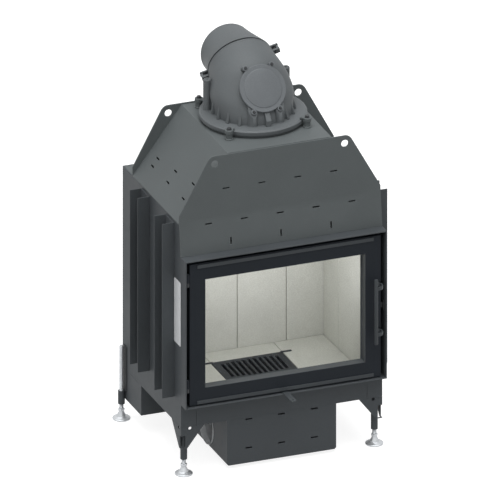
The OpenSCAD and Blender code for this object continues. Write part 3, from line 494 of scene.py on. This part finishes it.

# Each material, and the frame's nodes that take it
nodeMaterials = {
    "bodyPaint": "left_side_wall right_side_wall back_wall firebox_back bottom_plate front_apron"
                 " door_surround door_seat front_air_box rear_air_box left_convection_fins"
                 " right_convection_fins front_leg_brackets air_lever leg_sleeves",
    "hoodPaint": "rear_top_cover hood_shell hood_front_plate hood_rear_plate flue_collar dome_clamps",
    "doorPaint": "door_frame door_knuckles",
    "trimPaint": "door_strips handle_bar handle_arms",
    "castPaint": "flue_dome outlet_clamps flue_outlet",
    "coverPaint": "inspection_cover",
    "darkSteel": "throat_plate hearth_frame rear_leg_brackets hinge_pins door_back_plate latch_bearings"
                 " cover_screws latch_keeper latch_cam",
    "spigotMetal": "air_spigot",
    "zinc": "air_damper ash_pan foot_front_left foot_front_right foot_rear_left foot_rear_right",
    "steel": "latch_shaft lever_shaft",
    "plateMetal": "type_plate",
    "brick": "back_firebricks side_firebricks floor_firebricks smoke_baffle",
    "castIron": "grate",
    "rope": "glass_gasket door_rope_seal",
    "glass": "window_glass",
}
for name, members in nodeMaterials.items():
    for node in members.split():
        nodes[node].data.materials.clear()
        nodes[node].data.materials.append(materials[name])
print("materials made:", len(materials))

# Sheet metal, bricks and plain steel parts keep the frame's form and get rounded edges
edgeWidths = {
    "left_side_wall": 0.8, "right_side_wall": 0.8, "back_wall": 0.8, "rear_top_cover": 0.8,
    "door_surround": 1.0, "front_air_box": 0.7, "rear_air_box": 0.7, "left_convection_fins": 0.7,
    "right_convection_fins": 0.7, "front_leg_brackets": 0.7, "rear_leg_brackets": 0.7, "hood_shell": 1.1,
    "flue_collar": 1.0, "back_firebricks": 1.6, "side_firebricks": 1.6, "floor_firebricks": 1.6,
    "smoke_baffle": 1.6, "door_strips": 0.8, "door_back_plate": 0.5, "door_knuckles": 0.7,
    "latch_bearings": 0.7, "latch_cam": 0.7, "latch_keeper": 0.7, "air_damper": 0.5, "hearth_frame": 0.8,
    "throat_plate": 0.6, "ash_pan": 0.5, "hinge_pins": 0.6, "leg_sleeves": 0.8, "firebox_back": 0.6,
    "bottom_plate": 0.6, "door_seat": 0.6, "latch_shaft": 0.6, "lever_shaft": 0.5,
}
bodies = frame["record"]["behaviour"]["bodies"]
bodyOf = {node: body for body, members in bodies.items() for node in members}
materialOf = {node: name for name, members in nodeMaterials.items() for node in members.split()}
for node, width in edgeWidths.items():
    words = node.split("_")
    name = words[0] + "".join(word.title() for word in words[1:]) + "Piece"
    finish(fromFrame(node, width), name, bodyOf[node], materialOf[node], node)
print("sheet parts rounded:", len(edgeWidths))

# Flue dome: a bulged body between its round foot and its tilted seat, with upright ribs round the skirt
domeLook = {
    "depth": 303, "wall": 6, "seat": 112, "seatTilt": 67.5, "seatFoot": 160, "seatLow": 35,
    # each section's front and rear point in the middle plane, its half width and where it is widest
    "sections": [(-130, 16, 130, 16, 131, 0.5), (-128, 40, 140, 25, 132, 0.47),
                 (-121, 62, 160, 35, 134.5, 0.43), (-108, 88, 160, 35, 137.5, 0.41),
                 (-90, 117, 160, 35, 138.5, 0.41), (-66, 155, 160, 35, 134, 0.43),
                 (-40, 189, 160, 35, 127, 0.46), (0, 211.5, 160, 35, 120.5, 0.48),
                 (38, 227.3, 160, 35, 115.5, 0.5), (74.3, 242, 160, 35, 112, 0.5)],
    "rings": 32, "sides": 120, "round": 1.2,
    "flange": [(121, 0), (175, 0), (177.4, 1.2), (178, 3), (178, 13.5), (176.6, 15), (172.5, 17), (171.5, 18),
               (121, 18), (121, 0)],
    "seatLip": [(104, -8), (112, -8), (113, -6.5), (113, -2.8), (112, -1.7), (104, -1.7), (104, -8)],
}
ribLook = {
    "angles": (-206, -187, -168, -149, -130, -54, -35, -16, 3, 26), "inner": 116, "nose": 142, "half": 5.5,
    "low": 16, "high": 110, "touch": 102, "lean": -2.6, "round": 4.2, "far": 300,
}
columnLook = {
    "angle": 23.5, "radius": 151, "screw": (4.6, 126, 3),
    "profile": [(0, 16), (14.5, 16), (13, 21), (13, 123), (10.5, 126), (0, 126)],
    "webInner": 118, "webHalf": 6, "webLow": 16, "webHigh": 120, "webRound": 1.5,
}
coverLook = {
    "tilt": 58, "forward": 86.5, "height": 130.5, "lugRing": 87, "lugAngles": (58, 122, 238, 302),
    "disc": [(0, 7), (62.5, 7), (64.5, 6.4), (66, 5), (78.4, 5), (80, 3.4), (80, 0), (0, 0)],
    "lug": [(0, 0), (9.5, 0), (9.5, 3.6), (8.3, 5), (0, 5)],
    "washer": [(0, 4.8), (5.6, 4.8), (5.6, 5.6), (5.2, 6), (0, 6)], "screw": (4.4, 6, 3),
    # what the casting has under the cover: a pad, a post under each lug and a boss under the two lower ones
    "pad": [(0, -52), (75, -52), (75, -2.6), (73.4, -0.9), (0, -0.9)],
    "post": [(0, -50), (9.5, -50), (9.5, -2), (8.3, -0.9), (0, -0.9)],
    "boss": [(0, 16), (19, 16), (17.4, 19), (17, 23), (17, 110), (0, 110)],
    "bossDepth": -117, "bossUnder": 1.4,
}
tabLook = {
    "half": 9, "front": -147, "back": -118, "low": 16, "high": 70, "cut": 38, "slope": (0, -0.768, 0.64),
}
castRound = 1.6
acrossX = Vector((1, 0, 0))
seatTilt = math.radians(domeLook["seatTilt"])
seatNormal = Vector((0, math.sin(seatTilt), math.cos(seatTilt)))
seatCentre = Vector((0, domeLook["depth"] + domeLook["seatFoot"] - domeLook["seat"] * math.cos(seatTilt),
                     domeFoot + domeLook["seatLow"] + domeLook["seat"] * math.sin(seatTilt)))
coverTilt = math.radians(coverLook["tilt"])
coverNormal = Vector((0, -math.sin(coverTilt), math.cos(coverTilt)))
coverCentre = Vector((0, domeLook["depth"] - coverLook["forward"], domeFoot + coverLook["height"]))


def outOn(normal, angle):
    # the direction on a tilted plane at an angle from the X axis
    a = math.radians(angle)
    return acrossX * math.cos(a) + normal.cross(acrossX) * math.sin(a)


def hexCap(radius, base, height, sunk=2, chamfer=1):
    # the profile of a screw head, spun in six steps
    foot, top = base - sunk, base + height
    return [(0, foot), (radius, foot), (radius, top - chamfer), (radius - chamfer, top), (0, top)]


def curve(stops, share):
    # a smooth line through stops of several numbers
    place = share * (len(stops) - 1)
    index = min(int(place), len(stops) - 2)
    t = place - index
    held = [stops[0]] + stops + [stops[-1]]
    before, first, last, after = (Vector(stop) for stop in held[index:index + 4])
    bend = (last - before) * t + (before * 2 - first * 5 + last * 4 - after) * t ** 2
    return (first * 2 + bend + (first * 3 - last * 3 + after - before) * t ** 3) / 2


def makeDomeBody(look):
    rings = []
    for index in range(look["rings"] + 1):
        frontY, frontZ, rearY, rearZ, wide, share = curve(look["sections"], index / look["rings"])
        back = Vector((0, rearY - frontY, rearZ - frontZ))
        centre = Vector((0, look["depth"] + frontY, domeFoot + frontZ)) + back * share
        normal = (0, frontZ - rearZ, rearY - frontY)
        section = ring(centre, normal, acrossX, wide, back.length * share, look["sides"])
        back.normalize()
        for vertex in section.data.vertices:
            reach = (vertex.co - at(*centre)).dot(back)
            vertex.co += back * max(reach, 0) * (1 / share - 2)
        rings.append(section)
    body = lofted("domeBody", rings)
    useModifier(body, "SOLIDIFY", thickness=look["wall"] / 1000, offset=-1, use_rim=True)
    return roundEdges(body, look["round"], 3, 60)


def sliced(piece, point, normal):
    # cuts off what lies beyond a plane and closes the cut
    selectOnly(piece)
    bpy.ops.object.mode_set(mode="EDIT")
    bpy.ops.mesh.select_all(action="SELECT")
    bpy.ops.mesh.bisect(plane_co=at(*point), plane_no=normal, use_fill=True, clear_outer=True)
    bpy.ops.object.mode_set(mode="OBJECT")
    return piece


def makeRibs(look, body):
    # one rib, copied round the skirt; the top of each copy leans in to the body's skin
    depth, nose = domeLook["depth"], look["nose"] / 1000
    low = (look["inner"], depth - look["half"], domeFoot + look["low"])
    high = (look["nose"], depth + look["half"], domeFoot + look["high"])
    middle = (low[2] + high[2]) / 2000
    first = block("rib", low, high, look["round"], 4)
    axis = at(0, depth, domeFoot + look["touch"])
    ribs = placed(first, [Matrix.Identity(4)] * len(look["angles"]))
    for rib, angle in zip(ribs, look["angles"]):
        a = math.radians(angle)
        out = Vector((math.cos(a), math.sin(a), 0))
        skin = (body.ray_cast(axis + out * look["far"] / 1000, -out)[1] - axis).length
        for vertex in rib.data.vertices:
            vertex.select = vertex.co.z > middle
        selectOnly(rib)
        bpy.ops.object.mode_set(mode="EDIT")
        bpy.ops.transform.translate(value=(min(skin + look["lean"] / 1000 - nose, 0), 0, 0))
        bpy.ops.object.mode_set(mode="OBJECT")
        rib.data.transform(around(at(0, depth, domeFoot), "Z", angle))
    return ribs


def makeColumns(look):
    # a round column with a domed top and a screw, copied to the other side, each with a web to the body
    a, depth = math.radians(look["angle"]), domeLook["depth"]
    x, y = look["radius"] * math.cos(a), depth + look["radius"] * math.sin(a)
    column = joined("column", [turned("column", look["profile"], (x, y, domeFoot), steps=40),
                               turned("columnScrew", hexCap(*look["screw"]), (x, y, domeFoot), steps=6)])
    low = (look["webInner"], depth - look["webHalf"], domeFoot + look["webLow"])
    high = (look["radius"], depth + look["webHalf"], domeFoot + look["webHigh"])
    web = block("web", low, high, look["webRound"])
    axis = at(0, depth, domeFoot)
    webs = placed(web, [around(axis, "Z", turn) for turn in (look["angle"], 180 - look["angle"])])
    return repeated(column, [(x, y, 0), (-x, y, 0)]) + webs


def lugPlaces(look):
    return [coverCentre + outOn(coverNormal, angle) * look["lugRing"] for angle in look["lugAngles"]]


def makeCoverSeat(look):
    # the pad, posts and bosses that carry the cover
    places = lugPlaces(look)
    parts = [turned("coverPad", look["pad"], coverCentre, coverNormal, 96)]
    parts += repeated(turned("lugPost", look["post"], places[0], coverNormal, 40), places)
    bossPlaces = [(place.x, domeLook["depth"] + look["bossDepth"], domeFoot) for place in places[2:]]
    boss = turned("lugBoss", look["boss"], bossPlaces[0], steps=48)
    sliced(boss, coverCentre - coverNormal * look["bossUnder"], coverNormal)
    return parts + repeated(roundEdges(boss, castRound, 3, 50), bossPlaces)


def makeTab(look):
    depth = domeLook["depth"]
    low = (-look["half"], depth + look["front"], domeFoot + look["low"])
    high = (look["half"], depth + look["back"], domeFoot + look["high"])
    cut = (0, depth + look["front"], domeFoot + look["cut"])
    return roundEdges(sliced(block("tab", low, high, 0), cut, look["slope"]), castRound, 3)


def makeDome(look):
    body = makeDomeBody(look)
    parts = [body] + makeRibs(ribLook, body) + makeColumns(columnLook) + makeCoverSeat(coverLook)
    parts.append(turned("flange", look["flange"], (0, look["depth"], domeFoot), steps=120))
    parts.append(turned("seatLip", look["seatLip"], seatCentre, seatNormal, 96))
    return joined("domeCasting", parts + [makeTab(tabLook)])


def makeCover(look):
    places = lugPlaces(look)
    lug = turned("coverLug", look["lug"], places[0], coverNormal, 40)
    return joined("inspectionCover", [turned("coverDisc", look["disc"], coverCentre, coverNormal, 120)]
                  + repeated(lug, places))


def makeCoverScrews(look):
    places = lugPlaces(look)
    screw = joined("screw", [turned("washer", look["washer"], places[0], coverNormal, 32),
                             turned("screwHead", hexCap(*look["screw"]), places[0], coverNormal, 6)])
    return joined("coverScrews", repeated(screw, places))


print("making the dome")
finish(makeDome(domeLook), "domeCasting", "dome", "castPaint", "flue_dome")
finish(makeCover(coverLook), "inspectionCover", "dome", "coverPaint", "inspection_cover")
finish(makeCoverScrews(coverLook), "coverScrews", "dome", "darkSteel", "cover_screws")

# Flue outlet: it leaves the seat at the seat's width, draws in to the pipe and ends in a socket
outletLook = {
    "turn": 96, "mitre": 22.5, "sides": 96, "foot": (5.4, 0, 88.5, 0),
    # each ring of the neck: its height over the seat, its tilt, its radius and how far it has moved over
    "neck": [(5.4, 0, 105, 0), (5.4, 0, 110.4, 0), (6, 0, 111, 0), (8, 0, 110.6, 0.4), (22, 3.8, 106.6, 6.6),
             (36, 7.5, 102.8, 12.9), (50, 11.3, 99.3, 19.1), (64, 15, 96.6, 25.4), (78, 18.8, 94.6, 31.7)],
    # each ring of the pipe: how far along it lies and its radius, outside and then back inside
    "outside": [(99, 93), (102, 93), (111.2, 93), (112, 92.2), (112, 91.1)],
    "inside": [(112, 91.1), (111, 90.5), (54, 90.5), (54, 88.5), (44, 88.5)],
    # the seal: a dark rope ring in the seat's gap, partly a real seal and partly painted shade that darkens
    # the gap's line
    "seal": [(100, -5), (105, -5), (105, 2), (100, 2), (100, -5)],
}


def makeOutlet(look):
    mitre = math.radians(look["mitre"])
    lean = outOn(seatNormal, look["turn"])
    level = seatNormal.cross(lean)
    pipe = seatNormal * math.cos(mitre) + lean * math.sin(mitre)

    def neckRing(height, tilt, radius, over):
        t = math.radians(tilt)
        centre = seatCentre + seatNormal * height + lean * over
        return ring(centre, seatNormal * math.cos(t) + lean * math.sin(t), level, radius, sides=look["sides"])

    def pipeRing(along, radius):
        return ring(seatCentre + pipe * along, pipe, level, radius, sides=look["sides"])

    neck = [neckRing(*stop) for stop in [look["foot"]] + look["neck"]]
    outer = lofted("outer", neck + [pipeRing(*stop) for stop in look["outside"]])
    inner = lofted("inner", [pipeRing(*stop) for stop in look["inside"]] + [neckRing(*look["foot"])])
    return smooth(outward(joined("flueOutlet", [outer, inner])))


print("making the outlet")
finish(makeOutlet(outletLook), "flueOutletPipe", "outlet", "castPaint", "flue_outlet")
# a dark rope ring in the seat's gap: partly a seal, partly painted shade for the dark line at the seat
finish(turned("seatSeal", outletLook["seal"], seatCentre, seatNormal, 96), "seatSealRingPaintedShade", "dome", "rope")

# Outlet clamps: two lugs each, drawn together by a bolt
outletClampLook = {
    "turn": -18, "boltRadius": 124,
    # each bar's inner and outer radius, half width, and lowest and highest point over the seat
    "bars": [(103, 137, 10, -12, -3.5), (108, 137, 10, 8.8, 14.8), (128, 136, 7, -6, 12)],
    "bolt": [(0, -8), (3.4, -8), (3.4, 12), (0, 12)], "head": (5.6, 15, 4.5),
    "nut": [(0, -17), (4.6, -17), (5.6, -16), (5.6, -11), (0, -11)],
}


def clampBar(turn, inner, outer, half, low, high):
    # a rounded bar that lies along the seat's radius
    bar = roundEdges(block("clampBar", (inner, -half, low), (outer, half, high), 0), castRound, 3)
    out = outOn(seatNormal, turn)
    stand = Matrix((out, seatNormal.cross(out), seatNormal)).transposed().to_4x4()
    bar.data.transform(Matrix.Translation(at(*seatCentre)) @ stand @ Matrix.Translation(-at(0, 0, 0)))
    return bar


def makeOutletClamps(look):
    # one clamp of three bars, a bolt and a nut, and its copy on the other side of the seat
    bars = joined("bars", [clampBar(look["turn"], *bar) for bar in look["bars"]])
    place = seatCentre + outOn(seatNormal, look["turn"]) * look["boltRadius"]
    bolts = joined("bolts", [turned("clampBolt", look["bolt"], place, seatNormal, 24),
                             turned("clampHead", hexCap(*look["head"]), place, seatNormal, 6),
                             turned("clampNut", look["nut"], place, seatNormal, 6)])
    acrossSeat = around(at(*seatCentre), seatNormal, 180)
    return [joined(part.name, [part, copied(part, acrossSeat)]) for part in (bars, bolts)]


clampBars, clampBolts = makeOutletClamps(outletClampLook)
finish(clampBars, "outletClampBars", "dome", "castPaint", "outlet_clamps")
finish(clampBolts, "outletClampBolts", "dome", "darkSteel")

# Dome clamps: waisted posts with a finger over the flange and a bolt
domeClampLook = {
    "angles": (45, 135, 225, 315), "middle": 194, "foot": -8.3,
    "post": [(0, 0), (14, 0), (14, 3), (11.5, 5), (11.5, 19), (14, 21.5), (14, 32.8), (12.5, 34.3),
             (0, 34.3)],
    "fingerInner": 171, "fingerHalf": 9.5, "fingerLow": 19, "fingerHigh": 25.6, "fingerRound": 1.2,
    "washer": [(0, 25.8), (9, 25.8), (9, 27.2), (8.6, 27.6), (0, 27.6)], "head": (7.3, 27.6, 5.4),
}


def makeDomeClamps(look):
    # one clamp, modelled beside the frame's middle and copied round the dome
    middle = (look["middle"], 0, 0)
    low = (look["fingerInner"], -look["fingerHalf"], look["fingerLow"])
    high = (look["middle"], look["fingerHalf"], look["fingerHigh"])
    post = joined("posts", [turned("post", look["post"], (look["middle"], 0, look["foot"]), steps=48),
                            block("finger", low, high, look["fingerRound"])])
    bolt = joined("postBolts", [turned("washer", look["washer"], middle, steps=32),
                                turned("head", hexCap(*look["head"]), middle, steps=6)])
    onDome = Matrix.Translation(at(0, domeLook["depth"], domeFoot) - at(0, 0, 0))
    moves = [onDome @ around(at(0, 0, 0), "Z", angle) for angle in look["angles"]]
    return [joined(name, placed(part, moves)) for name, part in (("posts", post), ("postBolts", bolt))]


clampPosts, postBolts = makeDomeClamps(domeClampLook)
finish(clampPosts, "domeClampPosts", "insert", "hoodPaint", "dome_clamps")
finish(postBolts, "domeClampBolts", "insert", "darkSteel")
print("dome and clamps made")

# Feet: a turned plate with a swivel cone, a nut and a threaded stem
footLook = {
    "plate": [(0, 0), (27, 0), (29.3, 0.8), (30, 2.4), (30, 4.6), (29, 6), (26.5, 7.2), (16.5, 9.6),
              (15, 11.2), (14.6, 14.5), (13.4, 16.6), (9.2, 25.5), (8.4, 29.5), (0, 29.5)],
    "nut": [(0, 30), (10.5, 30), (11.5, 31), (11.5, 37), (10.5, 38), (0, 38)],
    "stem": 7, "pitch": 2.0, "thread": 0.75, "stemLow": 26, "threadLow": 28, "tip": 2,
    # each pair's distance from the middle, its depth and the top of its stems
    "pairs": {"front": (335, 67, 148), "rear": (365.5, 554, 264)},
}


def makeFoot(look, x, y, top):
    root, height = look["stem"] - look["thread"], look["threadLow"]
    points = [(0, look["stemLow"])]
    while height < top - look["tip"]:
        points += [(root, height), (look["stem"], height + look["pitch"] / 2)]
        height += look["pitch"]
    points += [(root, height), (look["stem"] - look["tip"], top), (0, top)]
    return joined("foot", [turned("footPlate", look["plate"], (x, y, 0), steps=72),
                           turned("stem", points, (x, y, 0), steps=28),
                           turned("nut", look["nut"], (x, y, 0), steps=6)])


for end, (x, y, top) in footLook["pairs"].items():
    feet = repeated(makeFoot(footLook, -x, y, top), [(-x, y, 0), (x, y, 0)])
    for side, foot in zip(("left", "right"), feet):
        node = "foot_" + end + "_" + side
        finish(foot, "foot" + end.title() + side.title(), node, "zinc", node)
print("feet made")

# Air spigot: a beaded collar of zinc sheet, in a zinc paler and less metallic than the feet's, as painted
# light on its shaded inside
spigotLook = {
    "base": (-155, 228, 82),
    "profile": [(62.0, 0), (62.0, 34), (62.5, 36), (62.5, 38.8), (61.8, 40), (60.8, 40), (60.5, 39),
                (60.5, 24), (59.9, 22.6), (59.9, 20.4), (60.5, 19), (60.5, 0), (62.0, 0)],
}
spigot = turned("spigot", spigotLook["profile"], spigotLook["base"], (-1, 0, 0), 96)
finish(spigot, "airSpigotCollar", "insert", "spigotMetal", "air_spigot")

# Type plate: blank, with rounded corners and four rivets
plateLook = {
    "front": 45, "back": 103, "low": 468, "high": 697, "side": -354, "thick": 1.0, "corner": 6, "round": 0.25,
    "rivet": [(0, 0.4), (2.2, 0.4), (1.98, 0.9), (1.1, 1.25), (0, 1.35)], "inset": 5, "sunk": 0.35,
}


def makeTypePlate(look):
    low = (look["side"] - look["thick"], look["front"], look["low"])
    plate = block("plate", low, (look["side"], look["back"], look["high"]), 0)
    selectOnly(plate)
    bpy.ops.object.mode_set(mode="EDIT")
    bpy.ops.mesh.select_all(action="DESELECT")
    mesh = bmesh.from_edit_mesh(plate.data)
    for edge in mesh.edges:
        edge.select = abs((edge.verts[0].co - edge.verts[1].co).x) > look["thick"] / 2000
    bmesh.update_edit_mesh(plate.data)
    bpy.ops.mesh.bevel(offset=look["corner"] / 1000, segments=6)
    bpy.ops.object.mode_set(mode="OBJECT")
    roundEdges(plate, look["round"], 2)
    depths = (look["front"] + look["inset"], look["back"] - look["inset"])
    heights = (look["low"] + look["inset"], look["high"] - look["inset"])
    places = [(low[0] + look["sunk"], y, z) for y in depths for z in heights]
    rivets = repeated(turned("rivet", look["rivet"], places[0], (-1, 0, 0), 20), places)
    return joined("typePlate", [plate] + rivets)


finish(makeTypePlate(plateLook), "blankTypePlate", "insert", "plateMetal", "type_plate")


def nodeBox(node):
    # a node's corners in millimetres, with depths from the surround's front
    return [(x * 1000, (y - surroundFront) * 1000, z * 1000) for x, y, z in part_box(node)]


# Door: dark frame, pale window reveal with a narrow inner border, clear glass
doorLook = {
    "post": 54.5, "rail": 59, "step": 0.4, "revealDepth": 33, "line": 1.0, "sunk": 0.2, "lineRound": 0.3,
    "lip": 5.6, "lipDepth": 2.0, "lipRound": 0.5,
}
doorLow, doorHigh = nodeBox("door_frame")


def makeReveal(look):
    # four thin sheets line the opening; two upright borders stand at the glass
    front, back = doorLow[1] + look["step"], doorLow[1] + look["revealDepth"]
    half, low, high = doorHigh[0] - look["post"], doorLow[2] + look["rail"], doorHigh[2] - look["rail"]
    left, under, line, lip = -half - look["sunk"], low - look["sunk"], look["line"], look["lip"]
    level = block("line", (-half, front, under), (half, back, low + line), look["lineRound"])
    upright = block("line", (left, front, low), (-half + line, back, high), look["lineRound"])
    border = block("lip", (left, back - look["lipDepth"], low), (-half + lip, back, high), look["lipRound"])
    parts = repeated(level, [(0, 0, under), (0, 0, high - line)])
    parts += repeated(upright, [(left, 0, 0), (half - line, 0, 0)])
    return joined("reveal", parts + repeated(border, [(left, 0, 0), (half - lip, 0, 0)]))


finish(makeReveal(doorLook), "windowReveal", "door", "revealPaint")

# Rope seal on the door's back: a twisted rope, pressed flat
sealLook = {
    "strand": 4.4, "flat": 0.52, "lobes": 3, "lobe": 0.16, "turnLength": 15, "steps": 12, "sides": 18,
    "inset": 4.5,
}
sealLow, sealHigh = nodeBox("door_rope_seal")


def makeRopeLength(look, length):
    # a lobed outline, twisted along its length by a screw
    outline = startPiece("ropeLength", bpy.ops.mesh.primitive_circle_add, vertices=look["sides"],
                         radius=look["strand"] / 1000)
    for index, vertex in enumerate(outline.data.vertices):
        a = 2 * math.pi * index / look["sides"]
        vertex.co *= 1 - look["lobe"] / 2 + look["lobe"] / 2 * math.cos(look["lobes"] * a)
    turns = max(1, round(length / look["turnLength"]))
    useModifier(outline, "SCREW", angle=2 * math.pi, screw_offset=length / turns / 1000, iterations=turns,
                steps=look["steps"], render_steps=look["steps"], axis="Z", use_merge_vertices=False,
                use_smooth_shade=True)
    bpy.ops.object.mode_set(mode="EDIT")
    bpy.ops.mesh.select_all(action="SELECT")
    bpy.ops.mesh.remove_doubles(threshold=tolerances["gap"])
    bpy.ops.mesh.select_all(action="DESELECT")
    bpy.ops.mesh.select_mode(type="EDGE")
    bpy.ops.mesh.select_non_manifold()
    bpy.ops.mesh.edge_face_add()
    bpy.ops.mesh.select_mode(type="VERT")
    bpy.ops.object.mode_set(mode="OBJECT")
    return outward(outline)


def makeRopeSeal(look):
    inset = look["inset"]
    half, low, high = sealHigh[0] - inset, sealLow[2] + inset, sealHigh[2] - inset
    corner = Matrix.Translation(at(-half, (sealLow[1] + sealHigh[1]) / 2, low))
    flat = Matrix.Diagonal((1, look["flat"], 1, 1))
    upright, level = makeRopeLength(look, high - low), makeRopeLength(look, 2 * half)
    upright.data.transform(corner @ flat)
    level.data.transform(corner @ Matrix.Rotation(math.pi / 2, 4, "Y") @ flat)
    parts = repeated(upright, [(-half, 0, 0), (half, 0, 0)]) + repeated(level, [(0, 0, low), (0, 0, high)])
    return smooth(joined("rope", parts), 60)


finish(makeRopeSeal(sealLook), "ropeSeal", "door", "rope", "door_rope_seal")

# Handle: a turned bar with rounded ends, drawn by stops in from its radius and along from its end
handleLook = {"stops": [(2.5, 0), (0.9, 0.7), (0, 2.4)]}
handleLow, handleHigh = nodeBox("handle_bar")


def makeHandleBar(look):
    radius, length = (handleHigh[0] - handleLow[0]) / 2, handleHigh[2] - handleLow[2]
    end = [(0, 0)] + [(radius - inside, along) for inside, along in look["stops"]]
    profile = end + [(across, length - along) for across, along in reversed(end)]
    middle = ((handleLow[0] + handleHigh[0]) / 2, (handleLow[1] + handleHigh[1]) / 2, handleLow[2])
    return turned("bar", profile, middle, steps=40)


finish(makeHandleBar(handleLook), "handleBarRound", "handle", "trimPaint", "handle_bar")

# Apron: two upright slits beside the door surround's feet
apronLook = {
    "slits": (-300, 300), "wide": 1.6, "front": 42, "back": 44.4, "low": 176, "high": 231, "round": 0.4,
}


def makeApron(look):
    apron = fromFrame("front_apron", 0)
    first, half = look["slits"][0], look["wide"] / 2
    low, high = (first - half, look["front"], look["low"]), (first + half, look["back"], look["high"])
    slits = repeated(block("slit", low, high, 0), [(x, 0, 0) for x in look["slits"]])
    return roundEdges(cutOut(apron, slits), look["round"])


finish(makeApron(apronLook), "frontApronSheet", "insert", "bodyPaint", "front_apron")

# Pieces that keep the frame's form under a name of their own: the edge's width and its segments
formedPieces = {
    "door_frame": ("doorFrameCasing", 1.0, 2), "window_glass": ("doorGlass", 0.6, 2),
    "glass_gasket": ("glassTape", 0.35, 3), "handle_arms": ("handleStraps", 0.9, 3),
    "hood_front_plate": ("hoodFrontSheet", 0.7, 2), "hood_rear_plate": ("hoodRearSheet", 0.9, 2),
    "grate": ("grateCasting", 1.3, 3), "air_lever": ("airLeverBar", 0.4, 2),
}
for node, (name, edge, segments) in formedPieces.items():
    finish(fromFrame(node, edge, segments), name, bodyOf[node], materialOf[node], node)
print("door, handle, seals and sheets made")


# Stage: the floor's size in metres and its grey for bounced light, and what the camera sees of it
stageLook = {"floor": 8.0, "bounce": 0.35, "glow": 0.86, "seen": 0.35, "sky": 0.38}


def seenRays(board):
    # 1 for what the camera, a mirror or glass sees, 0 for what lights the object
    kinds = ("Is Camera Ray", "Is Glossy Ray", "Is Transmission Ray")
    camera, glossy, through = [board.add("ShaderNodeLightPath", output=kind) for kind in kinds]
    return camera.maths("MAXIMUM", camera.maths("MAXIMUM", camera, glossy), through)


def makeStage(look):
    bpy.ops.object.select_all(action="DESELECT")
    bpy.ops.mesh.primitive_plane_add(size=look["floor"], location=(0, 0, 0))
    floor = bpy.context.object
    floor.name = "stageFloor"
    white = (1, 1, 1, 1)
    material, board, shader = startShader("stageFloor", Roughness=1.0, Specular_IOR_Level=0.0,
                                          Emission_Color=white)
    ray = seenRays(board)
    bounce, seen = look["bounce"], look["seen"]
    plug(shader, "Base Color", board.mix(ray, (bounce, bounce, bounce, 1), (seen, seen, seen, 1)))
    plug(shader, "Emission Strength", ray * look["glow"])
    floor.data.materials.append(material)
    world = bpy.data.worlds.new("studio")
    bpy.context.scene.world = world
    world.use_nodes = True
    background = world.node_tree.nodes["Background"]
    board = Wire(world.node_tree, None)
    strength = seenRays(board) * (1 - look["sky"]) + look["sky"]
    board.tree.links.new(strength.socket, background.inputs["Strength"])
    background.inputs["Color"].default_value = white


# Suns: the direction they come from, counted from the front towards the right, and their height
sunDistance = 4
sunLooks = {
    "overhead": {"turn": -20, "rise": 84, "strength": 2.25, "soft": 50},
    "slant": {"turn": -10, "rise": 60, "strength": 0.5, "soft": 40},
    "front": {"turn": 0, "rise": 20, "strength": 0.26, "soft": 60},
    "left": {"turn": -75, "rise": 45, "strength": 0.52, "soft": 50},
}
fireboxLampLook = {"place": (0, 66, 610), "aim": (0, 446, 640), "wide": 0.46, "high": 0.24, "power": 1.0}


def addLamp(name, kind, place, towards, power):
    bpy.ops.object.light_add(type=kind, location=place)
    lamp = bpy.context.object
    lamp.name = name
    lamp.rotation_mode = "QUATERNION"
    lamp.rotation_quaternion = towards.to_track_quat("-Z", "Y")
    lamp.data.energy = power
    return lamp


def makeSun(name, look):
    turn, rise = math.radians(look["turn"]), math.radians(look["rise"])
    towards = -Vector((math.sin(turn) * math.cos(rise), -math.cos(turn) * math.cos(rise), math.sin(rise)))
    lamp = addLamp(name, "SUN", -towards * sunDistance, towards, look["strength"])
    lamp.data.angle = math.radians(look["soft"])


def makeFireboxLamp(look):
    # a small soft lamp behind the glass, unseen itself, that shows the bricks
    place = at(*look["place"])
    lamp = addLamp("fireboxLamp", "AREA", place, at(*look["aim"]) - place, look["power"])
    lamp.data.shape = "RECTANGLE"
    lamp.data.size = look["wide"]
    lamp.data.size_y = look["high"]
    lamp.visible_camera = False


makeStage(stageLook)
for name, look in sunLooks.items():
    makeSun(name, look)
makeFireboxLamp(fireboxLampLook)
makeCamera(cameraLook)
bpy.context.scene.view_settings.view_transform = "Standard"
